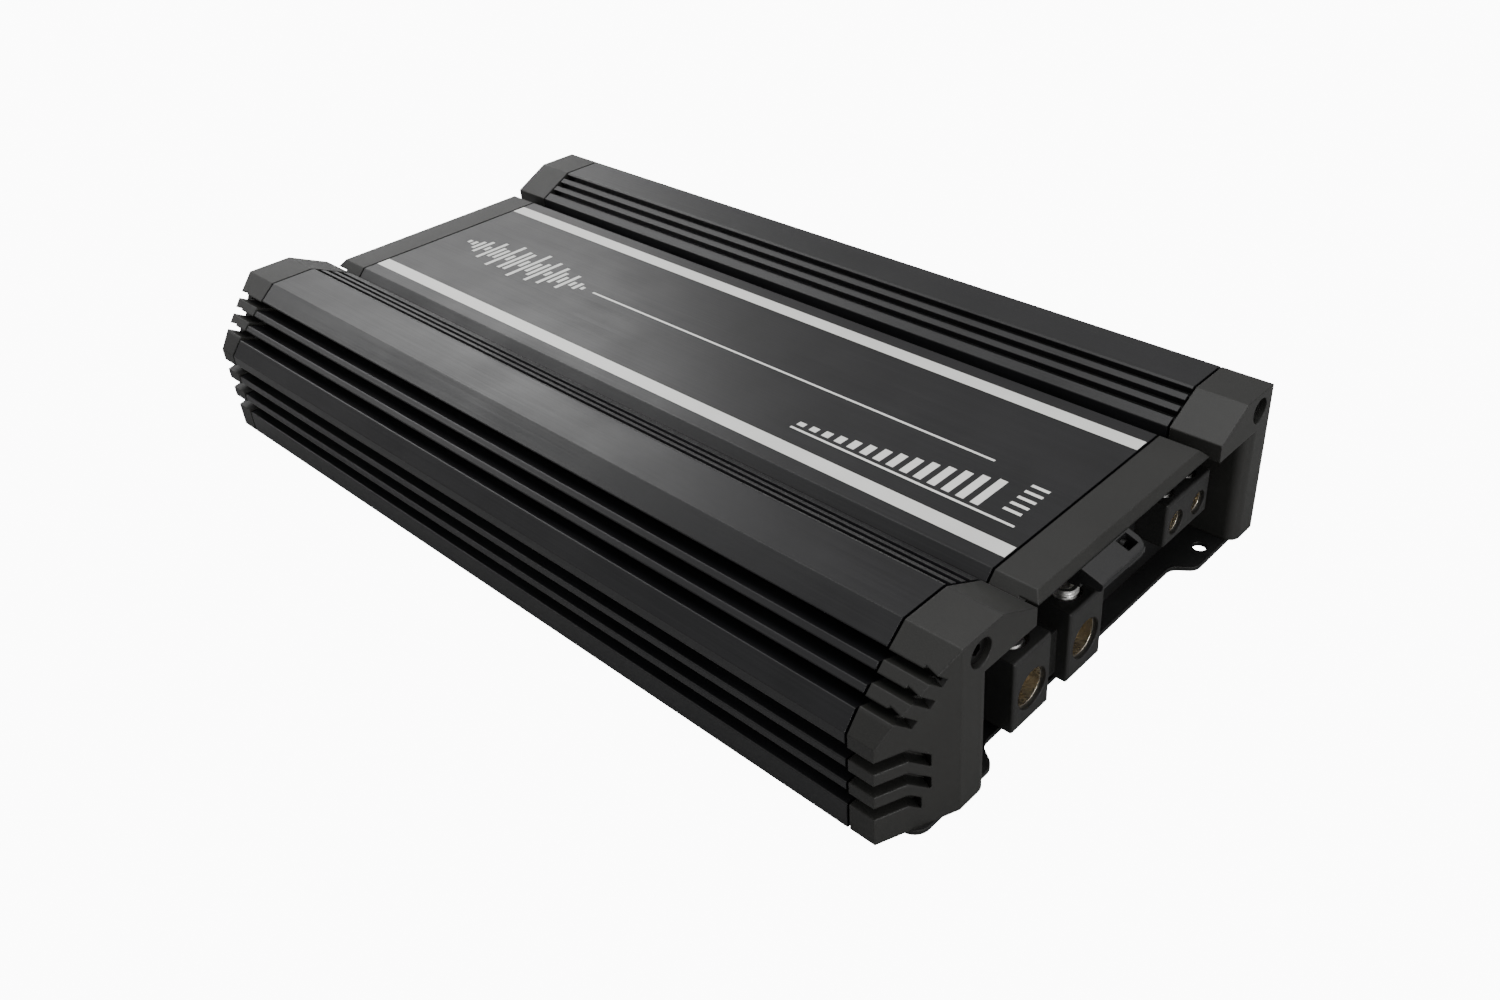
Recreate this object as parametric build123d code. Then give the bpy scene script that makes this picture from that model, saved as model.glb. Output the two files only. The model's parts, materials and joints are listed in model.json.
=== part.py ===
"""Car audio amplifier: a finned aluminium case with die-cast end caps, a terminal end and a control end.

Axes: +X along the extrusion towards the power and speaker terminals, +Y across, +Z up.
Origin: on the underside of the bottom plate, midway between the ends of the extrusion.
Millimetres throughout.
"""
from build123d import *
from math import cos, sin, radians, pi, hypot, atan2, degrees
import os

os.makedirs("parts", exist_ok=True)

# ---------------------------------------------------------------- driving dimensions
EXTRUSION_LENGTH = 302.0
WIDTH = 200.0
BODY_HEIGHT = 53.4            # extrusion's bottom edge to the crest of a hump
PLATE_THICKNESS = 1.5
CAP_LENGTH = 18.0
SEAM_GAP = 0.9                # dark joint between the extrusion and an end cap
PANEL_THICKNESS = 1.6

# hump section: insets are measured in from the side, drops down from the crest
WAIST_INSET, WAIST_DROP = 0.6, 21.0
SHOULDER_INSET, SHOULDER_DROP = 4.9, 16.0
EAVE_INSET, EAVE_DROP = 16.3, 5.3
CREST_OUTER_INSET = 22.7
CREST_INNER_INSET = 38.7
SLOPE_FOOT_INSET, PLATEAU_DROP = 53.2, 7.2
VALLEY_INSET, VALLEY_DROP = 55.1, 11.2
CREASE_INSET = 59.0
VALLEY_FLOOR_DROP = 11.9

# grooves of the extrusion
SLOPE_GROOVE_PITCH, SLOPE_GROOVE_WIDTH, SLOPE_GROOVE_COUNT = 6.1, 3.75, 3
SLOPE_GROOVE_DEPTH, SLOPE_GROOVE_TILT = 8.5, 22.0
SLOPE_GROOVE_START = -0.15    # eave to the first slope groove, just above the corner
GROOVE_OVERSHOOT = 3.0        # how far a cutting tool runs out past the surface
PROFILE_RADIUS = 0.4          # rounding of the outline's corners
SIDE_GROOVE_PITCH, SIDE_GROOVE_HEIGHT, SIDE_GROOVE_DEPTH = 7.65, 5.0, 7.0
SIDE_GROOVE_START = 6.2       # waist to the middle of the first side groove
BOTTOM_LAND = 8.0
PINSTRIPE_GROOVES, PINSTRIPE_WIDTH, PINSTRIPE_DEPTH = 3, 2.4, 3.0
PINSTRIPE_START, PINSTRIPE_PITCH = 2.2, 4.6    # crest to the middle of the first, measured down the slope

# end cap details
CAP_SLOPE_SLOT, CAP_SIDE_SLOT, CAP_SLOT_DEPTH = 2.7, 4.0, 4.0
CHAMFER_X, CHAMFER_Y = 9.2, 22.6
SLOT_BEND, SLOT_TAIL, SLOT_TAIL_DROP = 9.85, 6.3, 4.6
LONG_SLOTS, SHORT_TAIL_SHARE = 2, 0.56      # upper side slots with a full tail, and the tail of the others
SLOT_RUN_IN = 2.0             # how far a slot's outline starts before the chamfer
CLAW_ANGLE, CLAW_TAIL = 38.0, (3.6, 5.5, 5.5)
CLAW_RUN_IN, CLAW_OVERLAP, CLAW_WIDTH_SHARE = 7.0, 2.2, 0.93
SLOPE_SLOT_EXTRA_DEPTH = 1.6
CHAMFER_TOOL_CLEAR = 3.0      # how far outside the chamfer a cut into it starts
OPENING_INSET = 34.3          # side of the case to the side wall of the terminal opening
BRIM_DROP = 13.0
MOUTH_RADIUS = 4.0
BAR_SETBACK, BAR_BEVEL_RUN, BAR_BEVEL_DROP = 4.1, 2.2, 2.6
BAR_ROOT_LENGTH = 8.6
CORE_WALL, CORE_WIDTH, CORE_DEPTH = 3.8, 10.5, 10.4
CORE_FLOOR, CORE_ROOF = 4.0, 2.5             # metal left under and over a core pocket
PANEL_LAP = 0.6               # how far the end panel reaches above the opening's brim
POCKET_ROOF, POCKET_SIDE = 1.0, 0.5          # room round the end panel inside the cap

# cavity of the extrusion
WALL = 16.0                   # side of the case to the flat inner wall that the transistors bear on
CEILING_DROP = 11.4           # crest to the ceiling under the plateau
VALLEY_CEILING_DROP = 15.6
HUMP_CEILING_DROP = 10.2
SHOULDER_CEILING_DROP = 16.6
INNER_CORNER_DROP = 27.4
RIB_PLATEAU_SIDE, RIB_FOOT_INNER = 6.0, 2.5  # thick rib under a valley, from the valley's outer edge inwards
RIB_FOOT_OUTER, RIB_HUMP_SIDE = 7.0, 12.0    # and outwards
HUMP_CEILING_EDGE, SHOULDER_CEILING_EDGE = 10.0, 5.3    # crest's outer edge to the hump ceiling's corners

# bottom plate
PLATE_EDGE = 8.8              # side of the case to the side of the plate
PLATE_OVERHANG = 8.7          # end of the extrusion to the plate's end between the tabs
TAB_LENGTH = 6.6
TAB_FAR_EDGE, TAB_NEAR_EDGE = 20.6, 8.0      # opening's side wall to the middle of each tab's curved edge
TAB_FAR_HOLE, TAB_NEAR_HOLE = 8.0, 3.4       # opening's side wall to each mounting hole
TAB_HOLE_X = 10.5             # end of the extrusion to a mounting hole
TAB_HOLE_RADIUS = 2.3
TAB_BLEND = 9.6
NEAR_CORNER, FAR_CORNER = 5.0, 10.0           # outer corners of the -Y and +Y tabs

# running and seating clearances; tools that cut start 1 mm outside the face they cut
THREAD_CLEARANCE = 0.05
SHAFT_CLEARANCE = 0.04
SEAT_CLEARANCE = 0.02
WINDOW_CLEARANCE = 0.35

# ---------------------------------------------------------------- derived places
HALF = EXTRUSION_LENGTH / 2
SIDE = WIDTH / 2
CAP_END = HALF + CAP_LENGTH
CAP_REAR = HALF + SEAM_GAP
PANEL_FRONT = HALF + PANEL_THICKNESS
CREST = PLATE_THICKNESS + BODY_HEIGHT
PLATEAU = CREST - PLATEAU_DROP
BRIM = CREST - BRIM_DROP
BAR_LOW = PLATEAU - BAR_BEVEL_DROP
OPENING = SIDE - OPENING_INSET
INNER_WALL = SIDE - WALL
TAB_INNER_Y = (OPENING - TAB_FAR_EDGE, TAB_NEAR_EDGE - OPENING)
TAB_HOLE_Y = (OPENING - TAB_FAR_HOLE, TAB_NEAR_HOLE - OPENING)
SIDE_SLOT_COUNT = int((BODY_HEIGHT - WAIST_DROP - SIDE_GROOVE_START - BOTTOM_LAND) / SIDE_GROOVE_PITCH) + 1
EAVE = (SIDE - EAVE_INSET, CREST - EAVE_DROP)
SHOULDER = (SIDE - SHOULDER_INSET, CREST - SHOULDER_DROP)
SLOPE_LENGTH = hypot(SHOULDER[0] - EAVE[0], EAVE[1] - SHOULDER[1])
SLOPE_DIR = ((SHOULDER[0] - EAVE[0]) / SLOPE_LENGTH, (SHOULDER[1] - EAVE[1]) / SLOPE_LENGTH)


# ---------------------------------------------------------------- helpers
def block(x0, x1, y0, y1, z0, z1):
    """A box given by its low and high corners."""
    return Pos((x0 + x1) / 2, (y0 + y1) / 2, (z0 + z1) / 2) * Box(abs(x1 - x0), abs(y1 - y0), abs(z1 - z0))


def prism_y(points, y0, y1):
    """Extrude an (x, z) outline from y0 to y1."""
    face = make_face(Polyline([(x, y0, z) for x, z in points], close=True))
    return extrude(face, amount=y1 - y0, dir=(0, 1, 0))


def prism_z(points, z0, z1):
    """Extrude an (x, y) outline from z0 to z1."""
    face = make_face(Polyline([(x, y, z0) for x, y in points], close=True))
    return extrude(face, amount=z1 - z0, dir=(0, 0, 1))


def rod(start, end, radius):
    """A cylinder between two points that lie on a line along one axis."""
    length = hypot(*(b - a for a, b in zip(start, end)))
    plane = Plane(origin=start, z_dir=tuple(b - a for a, b in zip(start, end)))
    return plane * Cylinder(radius, length, align=(Align.CENTER, Align.CENTER, Align.MIN))


def hex_rod(start, end, across_flats):
    """A hexagonal bar between two points that lie on a line along one axis."""
    plane = Plane(origin=start, z_dir=tuple(b - a for a, b in zip(start, end)))
    length = hypot(*(b - a for a, b in zip(start, end)))
    return plane * extrude(RegularPolygon(across_flats / 2, 6, major_radius=False), amount=length)


def both_sides(shape):
    """The shape and its mirror image across the lengthwise middle plane."""
    return [shape, mirror(shape, about=Plane.XZ)]


def both_ends(shape):
    """The shape and its mirror image across the middle of the length."""
    return [shape, mirror(shape, about=Plane.YZ)]


def cut_all(shape, tools):
    for tool in tools:
        shape = shape - tool
    return shape


def join_all(shapes):
    whole = shapes[0]
    for shape in shapes[1:]:
        whole = whole + shape
    return whole


def save(name, *shapes):
    """Write one sub-part; several shapes stay separate solids of one group."""
    solids = [solid for shape in shapes for solid in shape.solids()]
    export_step(solids[0] if len(solids) == 1 else Compound(solids), f"parts/{name}.step")


# ---------------------------------------------------------------- case section
# sections are drawn flat, with x for the width and y for the height, then stood up along the length
def flat_face(points):
    return make_face(Polyline(points, close=True))


def stand_up(section, x0, x1):
    """Extrude a flat section along the length from x0 to x1."""
    return extrude(Plane.YZ.offset(x0) * section, amount=x1 - x0)


def mirrored_points(half):
    return half + [(-y, z) for y, z in reversed(half)]


def flat_pair(section):
    """The section and its mirror image across the middle."""
    return [section, mirror(section, about=Plane.YZ)]


def outline_points():
    """Outline shared by the extrusion and both end caps, without grooves."""
    return mirrored_points([
        (SIDE - CREASE_INSET, PLATEAU),
        (SIDE - VALLEY_INSET, CREST - VALLEY_DROP),
        (SIDE - VALLEY_INSET, CREST - VALLEY_FLOOR_DROP),
        (SIDE - SLOPE_FOOT_INSET, CREST - VALLEY_FLOOR_DROP),
        (SIDE - SLOPE_FOOT_INSET, PLATEAU),
        (SIDE - CREST_INNER_INSET, CREST),
        (SIDE - CREST_OUTER_INSET, CREST),
        EAVE,
        SHOULDER,
        (SIDE - WAIST_INSET, CREST - WAIST_DROP),
        (SIDE, PLATE_THICKNESS),
    ])


def rounded(section, radius):
    """Round every corner of a section that lies on the case outline, as an extrusion die leaves it."""
    outline = flat_face(outline_points()).face().outer_wire()
    corners = [vertex for vertex in section.vertices() if outline.distance_to(Vector(vertex)) < 0.01]
    return fillet(corners, radius)


def cavity_section():
    """Hollow of the extrusion, open at the bottom."""
    valley = SIDE - VALLEY_INSET
    return flat_face(mirrored_points([
        (valley - RIB_PLATEAU_SIDE, CREST - CEILING_DROP),
        (valley - RIB_FOOT_INNER, CREST - VALLEY_CEILING_DROP),
        (valley + RIB_FOOT_OUTER, CREST - VALLEY_CEILING_DROP),
        (valley + RIB_HUMP_SIDE, CREST - HUMP_CEILING_DROP),
        (SIDE - CREST_OUTER_INSET - HUMP_CEILING_EDGE, CREST - HUMP_CEILING_DROP),
        (SIDE - CREST_OUTER_INSET - SHOULDER_CEILING_EDGE, CREST - SHOULDER_CEILING_DROP),
        (INNER_WALL, CREST - INNER_CORNER_DROP),
        (INNER_WALL, 0.0),
    ]))


def slope_point(along):
    """A point on the outer slope, measured down from the eave."""
    return EAVE[0] + SLOPE_DIR[0] * along, EAVE[1] + SLOPE_DIR[1] * along


def slope_groove(index, width, depth):
    """Section of a tilted groove with a round bottom, cut into the outer slope."""
    tilt = radians(SLOPE_GROOVE_TILT)
    inward = (-cos(tilt), -sin(tilt))
    start = slope_point(SLOPE_GROOVE_START + index * SLOPE_GROOVE_PITCH)
    across = width * abs(SLOPE_DIR[0] * inward[1] - SLOPE_DIR[1] * inward[0])
    radius = across / 2
    middle = (start[0] + inward[1] * radius, start[1] - inward[0] * radius)
    if middle[1] > start[1]:
        middle = (start[0] - inward[1] * radius, start[1] + inward[0] * radius)
    bottom = (middle[0] + inward[0] * (depth - radius), middle[1] + inward[1] * (depth - radius))
    reach = depth - radius + GROOVE_OVERSHOOT
    centre = (bottom[0] - inward[0] * reach / 2, bottom[1] - inward[1] * reach / 2)
    slot = Pos(*centre) * Rot(0, 0, SLOPE_GROOVE_TILT) * Rectangle(reach, across)
    return slot + Pos(*bottom) * Circle(radius)


def side_groove_height(index):
    return CREST - WAIST_DROP - SIDE_GROOVE_START - index * SIDE_GROOVE_PITCH


def side_groove(index):
    """Section of a level groove with a round bottom, cut into the side wall."""
    middle = side_groove_height(index)
    radius = SIDE_GROOVE_HEIGHT / 2
    reach = SIDE_GROOVE_DEPTH - radius + GROOVE_OVERSHOOT
    centre = SIDE + GROOVE_OVERSHOOT - reach / 2
    slot = Pos(centre, middle) * Rectangle(reach, SIDE_GROOVE_HEIGHT)
    return slot + Pos(centre - reach / 2, middle) * Circle(radius)


def pinstripe_groove(index):
    """Section of a square groove on the hump's inner slope, counted down from the crest."""
    low = (SIDE - SLOPE_FOOT_INSET, PLATEAU)
    high = (SIDE - CREST_INNER_INSET, CREST)
    angle = atan2(high[1] - low[1], high[0] - low[0])
    down = PINSTRIPE_START + index * PINSTRIPE_PITCH
    middle = (high[0] - down * cos(angle), high[1] - down * sin(angle))
    return Pos(*middle) * Rot(0, 0, degrees(angle)) * Rectangle(PINSTRIPE_WIDTH, 2 * PINSTRIPE_DEPTH)


# screws that hold the caps run along X near the crest of each hump
CAP_SCREW_Y = SIDE - 30.0
CAP_SCREW_Z = CREST - 6.1
CAP_SCREW_RADIUS = 2.0
CAP_SCREW_HEAD_RADIUS, CAP_SCREW_HEAD_LENGTH = 3.5, 4.0
CAP_SCREW_SEAT_DEPTH = 5.6
CAP_SCREW_REACH = 14.0
CAP_COUNTERBORE_RADIUS = 4.2
CAP_SCREW_KEY, CAP_SCREW_KEY_DEPTH = 3.0, 2.2
CAP_SCREW_CLEARANCE = 0.25

# screws up through the bottom plate
PLATE_SCREW_Y = INNER_WALL + 3.3
PLATE_SCREW_RADIUS = 1.5
PLATE_SCREW_HEAD_RADIUS = 2.8
PLATE_SCREW_REACH = 9.0
PLATE_SCREWS_PER_SIDE = 5
PLATE_SCREW_SINK = 0.1        # head below the plate's underside
PLATE_SCREW_CROSS, PLATE_SCREW_CROSS_SLOT, PLATE_SCREW_CROSS_DEPTH = 3.2, 0.7, 0.9
PLATE_SCREW_MARGIN = 12.0
PLATE_SCREW_SPAN = EXTRUSION_LENGTH - 2 * PLATE_SCREW_MARGIN
PLATE_SCREW_X = [
    -PLATE_SCREW_SPAN / 2 + PLATE_SCREW_SPAN * index / (PLATE_SCREWS_PER_SIDE - 1)
    for index in range(PLATE_SCREWS_PER_SIDE)
]

# transistors stand along both walls, pressed on by a bar
PAD_THICKNESS = 0.4
PACKAGE_WIDTH, PACKAGE_HEIGHT, PACKAGE_DEPTH = 15.6, 17.0, 4.8
PACKAGE_PITCH = 20.0
PACKAGE_GROUP_LENGTH = EXTRUSION_LENGTH - 70.0
PACKAGE_COUNT = int(PACKAGE_GROUP_LENGTH / PACKAGE_PITCH)
PACKAGE_X = [(index - (PACKAGE_COUNT - 1) / 2) * PACKAGE_PITCH for index in range(PACKAGE_COUNT)]
BAR_THICKNESS, BAR_HEIGHT = 3.0, 8.0
CLAMP_SCREW_RADIUS = 1.5
CLAMP_SCREW_X = [(a + b) / 2 for a, b in zip(PACKAGE_X, PACKAGE_X[1:])][::2]
CLAMP_SCREW_DEPTH = 5.0

# circuit board
BOARD_THICKNESS = 1.6
STANDOFF_HEIGHT = 4.0
BOARD_LOW = PLATE_THICKNESS + STANDOFF_HEIGHT
BOARD_TOP = BOARD_LOW + BOARD_THICKNESS
BOARD_HALF_LENGTH = HALF - 1.5
BOARD_HALF_WIDTH = INNER_WALL - 1.5
LEG_LENGTH, LEG_WIDTH, LEG_PITCH = 3.5, 1.2, 5.4
LEG_FRONT, LEG_BACK = 3.0, 2.3               # wall to the faces of a leg
PACKAGE_LOW = BOARD_TOP + LEG_LENGTH
CLAMP_Z = PACKAGE_LOW + PACKAGE_HEIGHT * 0.55


def heatsink():
    section = flat_face(outline_points())
    for index in range(SLOPE_GROOVE_COUNT):
        section = cut_all(section, flat_pair(slope_groove(index, SLOPE_GROOVE_WIDTH, SLOPE_GROOVE_DEPTH)))
    for index in range(SIDE_SLOT_COUNT):
        section = cut_all(section, flat_pair(side_groove(index)))
    section = rounded(section, PROFILE_RADIUS)
    for index in range(PINSTRIPE_GROOVES):
        section = cut_all(section, flat_pair(pinstripe_groove(index)))
    section = section - cavity_section()
    body = stand_up(section, -HALF, HALF)
    tools = []
    for end in (-1, 1):
        start = (end * (HALF + 1), CAP_SCREW_Y, CAP_SCREW_Z)
        finish = (end * (HALF - CAP_SCREW_REACH - 2), CAP_SCREW_Y, CAP_SCREW_Z)
        tools += both_sides(rod(start, finish, CAP_SCREW_RADIUS))
    for x in PLATE_SCREW_X:
        low = (x, PLATE_SCREW_Y, 0)
        tools += both_sides(rod(low, (x, PLATE_SCREW_Y, PLATE_SCREW_REACH + 1), PLATE_SCREW_RADIUS))
    for x in CLAMP_SCREW_X:
        start = (x, INNER_WALL - 1, CLAMP_Z)
        tools += both_sides(rod(start, (x, INNER_WALL + CLAMP_SCREW_DEPTH, CLAMP_Z), CLAMP_SCREW_RADIUS))
    return cut_all(body, tools)


# ---------------------------------------------------------------- end caps
CHAMFER_LENGTH = hypot(CHAMFER_X, CHAMFER_Y)
CHAMFER_START = (CAP_END - CHAMFER_X, SIDE)
CHAMFER_DIR = (CHAMFER_X / CHAMFER_LENGTH, -CHAMFER_Y / CHAMFER_LENGTH)
CHAMFER_OUT = (CHAMFER_Y / CHAMFER_LENGTH, CHAMFER_X / CHAMFER_LENGTH)


def chamfer_cut(points):
    """Cut into the chamfer face; points are (distance along the face, height)."""
    def place(along, height):
        return (CHAMFER_START[0] + CHAMFER_DIR[0] * along + CHAMFER_OUT[0] * CHAMFER_TOOL_CLEAR,
                CHAMFER_START[1] + CHAMFER_DIR[1] * along + CHAMFER_OUT[1] * CHAMFER_TOOL_CLEAR,
                height)
    face = make_face(Polyline([place(*point) for point in points], close=True))
    depth = CAP_SLOT_DEPTH + CHAMFER_TOOL_CLEAR
    return extrude(face, amount=depth, dir=(-CHAMFER_OUT[0], -CHAMFER_OUT[1], 0))


def side_slot(index):
    """A slot that carries a side groove round the cap's corner and bends down to a square end."""
    middle = side_groove_height(index)
    half = CAP_SIDE_SLOT / 2
    tail = SLOT_TAIL if index < LONG_SLOTS else SLOT_TAIL * SHORT_TAIL_SHARE
    drop = SLOT_TAIL_DROP * tail / SLOT_TAIL
    end = SLOT_BEND + tail
    outline = [(-SLOT_RUN_IN, middle + half), (SLOT_BEND, middle + half), (end, middle + half - drop),
               (end, middle - half - drop), (SLOT_BEND, middle - half), (-SLOT_RUN_IN, middle - half)]
    flat = block(CAP_REAR - 1, CHAMFER_START[0] + 1, SIDE - CAP_SLOT_DEPTH, SIDE + 1,
                 middle - half, middle + half)
    return [flat, chamfer_cut(outline)]


def slope_slot(index):
    """A slot that carries a slope groove to the chamfer and hooks down across it."""
    flat = stand_up(slope_groove(index, CAP_SLOPE_SLOT, CAP_SLOT_DEPTH + SLOPE_SLOT_EXTRA_DEPTH),
                    CAP_REAR - 1, CAP_END)
    y0, z0 = slope_point(SLOPE_GROOVE_START + index * SLOPE_GROOVE_PITCH)
    along = (SIDE - y0) / CHAMFER_Y * CHAMFER_LENGTH
    reach = CHAMFER_START[0] + CHAMFER_DIR[0] * (along - CLAW_OVERLAP)
    flat = flat & block(CAP_REAR - 2, reach, 0, SIDE + 5, 0, CREST + 5)
    run = (cos(radians(CLAW_ANGLE)), -sin(radians(CLAW_ANGLE)))
    down = (run[1], -run[0])
    tail = CLAW_TAIL[index]
    width = CAP_SLOPE_SLOT * CLAW_WIDTH_SHARE

    def place(ahead, below):
        return along + run[0] * ahead + down[0] * below, z0 + run[1] * ahead + down[1] * below
    hook = [place(-CLAW_RUN_IN, 0), place(tail, 0), place(tail, width), place(-CLAW_RUN_IN, width)]
    return [flat, chamfer_cut(hook)]


def end_cap():
    """The cast cap of the +X end: two hump ends joined by a set-back bar over a wide opening."""
    body = stand_up(rounded(flat_face(outline_points()), PROFILE_RADIUS), CAP_REAR, CAP_END)
    corner = [(CHAMFER_START[0], SIDE), (CAP_END, SIDE - CHAMFER_Y), (CAP_END + 5, SIDE - CHAMFER_Y),
              (CAP_END + 5, SIDE + 5), (CHAMFER_START[0], SIDE + 5)]
    tools = both_sides(prism_z(corner, -1, CREST + 1))
    foot = SIDE - SLOPE_FOOT_INSET
    front = CAP_END - BAR_SETBACK
    bar_front = [(front, PLATEAU), (front, CREST + 2), (CAP_END + 2, CREST + 2), (CAP_END + 2, 0),
                 (front + BAR_BEVEL_RUN, 0), (front + BAR_BEVEL_RUN, BAR_LOW)]
    tools.append(prism_y(bar_front, -foot, foot))
    tools.append(block(PANEL_FRONT - 2, CAP_END + 2, -OPENING, OPENING, 0, BRIM))
    tools.append(block(PANEL_FRONT + BAR_ROOT_LENGTH, CAP_END + 2, -foot, foot, 0, BAR_LOW))
    pocket = INNER_WALL - POCKET_SIDE
    tools.append(block(CAP_REAR - 1, PANEL_FRONT, -pocket, pocket, 0, BRIM + POCKET_ROOF))
    core_low = PLATE_THICKNESS + CORE_FLOOR
    core = block(PANEL_FRONT - 0.5, PANEL_FRONT + CORE_DEPTH, OPENING + CORE_WALL,
                 OPENING + CORE_WALL + CORE_WIDTH, core_low, BRIM - CORE_ROOF)
    tools += both_sides(core)
    for index in range(SIDE_SLOT_COUNT):
        for tool in side_slot(index):
            tools += both_sides(tool)
    for index in range(SLOPE_GROOVE_COUNT):
        for tool in slope_slot(index):
            tools += both_sides(tool)
    seat = CAP_END - CAP_SCREW_SEAT_DEPTH
    shank = rod((CAP_REAR - 1, CAP_SCREW_Y, CAP_SCREW_Z), (CAP_END, CAP_SCREW_Y, CAP_SCREW_Z),
                CAP_SCREW_RADIUS + CAP_SCREW_CLEARANCE)
    bore = rod((seat, CAP_SCREW_Y, CAP_SCREW_Z), (CAP_END + 1, CAP_SCREW_Y, CAP_SCREW_Z),
               CAP_COUNTERBORE_RADIUS)
    tools += both_sides(shank) + both_sides(bore)
    body = cut_all(body, tools)
    mouth = [edge for edge in body.edges().filter_by(Axis.Z)
             if abs(edge.center().X - CAP_END) < 0.01 and abs(abs(edge.center().Y) - OPENING) < 0.01]
    return fillet(mouth, MOUTH_RADIUS)


def cap_screw(y):
    """Socket cap screw along X, driven from the +X side."""
    seat = CAP_END - CAP_SCREW_SEAT_DEPTH
    radius = CAP_SCREW_RADIUS - SEAT_CLEARANCE
    shank = rod((HALF - CAP_SCREW_REACH, y, CAP_SCREW_Z), (seat, y, CAP_SCREW_Z), radius)
    head_end = seat + CAP_SCREW_HEAD_LENGTH
    head = rod((seat, y, CAP_SCREW_Z), (head_end, y, CAP_SCREW_Z), CAP_SCREW_HEAD_RADIUS)
    key_end = head_end - CAP_SCREW_KEY_DEPTH
    socket = hex_rod((key_end, y, CAP_SCREW_Z), (head_end + 0.1, y, CAP_SCREW_Z), CAP_SCREW_KEY)
    return shank + head - socket


# ---------------------------------------------------------------- terminal end
# power block: two wide cable sockets with the remote turn-on terminal between them
TERMINAL_FRONT = HALF + 14.5
REMOTE_FRONT = HALF + 10.3
HOUSING_REAR = HALF - 14.0
POWER_EDGE_GAP = 15.5         # side wall of the opening to the near side of the power block
POWER_LOW, POWER_HIGH = 4.4, 28.7
REMOTE_SPAN = 8.9
REMOTE_HIGH = 21.4
CABLE_RADIUS = 6.0
HOUSING_WALL = 1.5
BOARD_GAP = 0.5               # end of the main board to what hangs down in front of it
POWER_SOCKET_WALL = 0.9       # thinnest metal beside a cable bore
POWER_WIDTH = 2 * (CABLE_RADIUS + POWER_SOCKET_WALL + HOUSING_WALL)
CABLE_Z = 15.1
POWER_SCREW_SETBACK = 7.6     # front of the housing to the axis of a clamping screw
POWER_SCREW_RADIUS = 4.0
POWER_SCREW_TOPS = (28.2, 30.5)              # ground screw just open, battery screw backed out further
POWER_SCREW_KEY, SPEAKER_SCREW_KEY, REMOTE_SCREW_KEY = 4.0, 2.5, 1.5     # hexagon sockets, across flats
HOLE_EASE = 0.4               # how much wider the housing is drilled than the socket behind it
SCREW_TIP_GAP = 0.2           # bore to the tip of an open clamping screw
SCREW_ACCESS_RADIUS = 4.9
SMALL_SCREW_ACCESS = 0.8      # room round a speaker or remote screw in the housing's top
SOCKET_REAR_WALL = 3.0
POWER_Y = (-OPENING + POWER_EDGE_GAP + POWER_WIDTH / 2,
           -OPENING + POWER_EDGE_GAP + POWER_WIDTH * 1.5 + REMOTE_SPAN)
REMOTE_Y = (POWER_Y[0] + POWER_Y[1]) / 2
REMOTE_Z = 12.5
REMOTE_WIRE_RADIUS = 2.1
REMOTE_SCREW_RADIUS, REMOTE_SCREW_LENGTH = 1.5, 5.0
REMOTE_SCREW_SETBACK = 4.2
POWER_SOCKET_HIGH = 26.6
BORE_BEHIND_SCREW, SPEAKER_BORE_BEHIND_SCREW, REMOTE_BORE_BEHIND_SCREW = 10.0, 8.0, 4.0
REMOTE_SOCKET_LENGTH, REMOTE_SOCKET_WIDTH, REMOTE_SOCKET_ABOVE = 7.0, 6.4, 4.6
REMOTE_SCREW_SINK = 1.2       # top of the remote housing to the top of its open screw
HOUSING_ROUND = 0.9           # rounding of the front edges of a housing
TIP_CHAMFER_SHARE, KEY_DEPTH_SHARE = 0.25, 0.45
POWER_SCREW_LENGTH = min(POWER_SCREW_TOPS) - CABLE_Z - CABLE_RADIUS - SCREW_TIP_GAP

# speaker block
SPEAKER_FRONT = HALF + 11.5
SPEAKER_EDGE_GAP = 9.7
SPEAKER_WIDTH = 25.4
SPEAKER_LOW, SPEAKER_HIGH = 17.2, 32.3
SPEAKER_PITCH = 13.1
SPEAKER_CABLE_RADIUS = 3.6
SPEAKER_Z = 23.4
SPEAKER_SOCKET_WALL = 1.4
SPEAKER_SCREW_RADIUS = 2.5
SPEAKER_SCREW_SETBACK = 5.4
SPEAKER_SCREW_TOP = 32.0
SPEAKER_SCREW_LENGTH = SPEAKER_SCREW_TOP - SPEAKER_Z - SPEAKER_CABLE_RADIUS - SCREW_TIP_GAP
SPEAKER_SOCKET_HIGH = 30.8
SPEAKER_Y = OPENING - SPEAKER_EDGE_GAP - SPEAKER_WIDTH / 2
SPEAKER_WIRES = (SPEAKER_Y - SPEAKER_PITCH / 2, SPEAKER_Y + SPEAKER_PITCH / 2)


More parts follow.
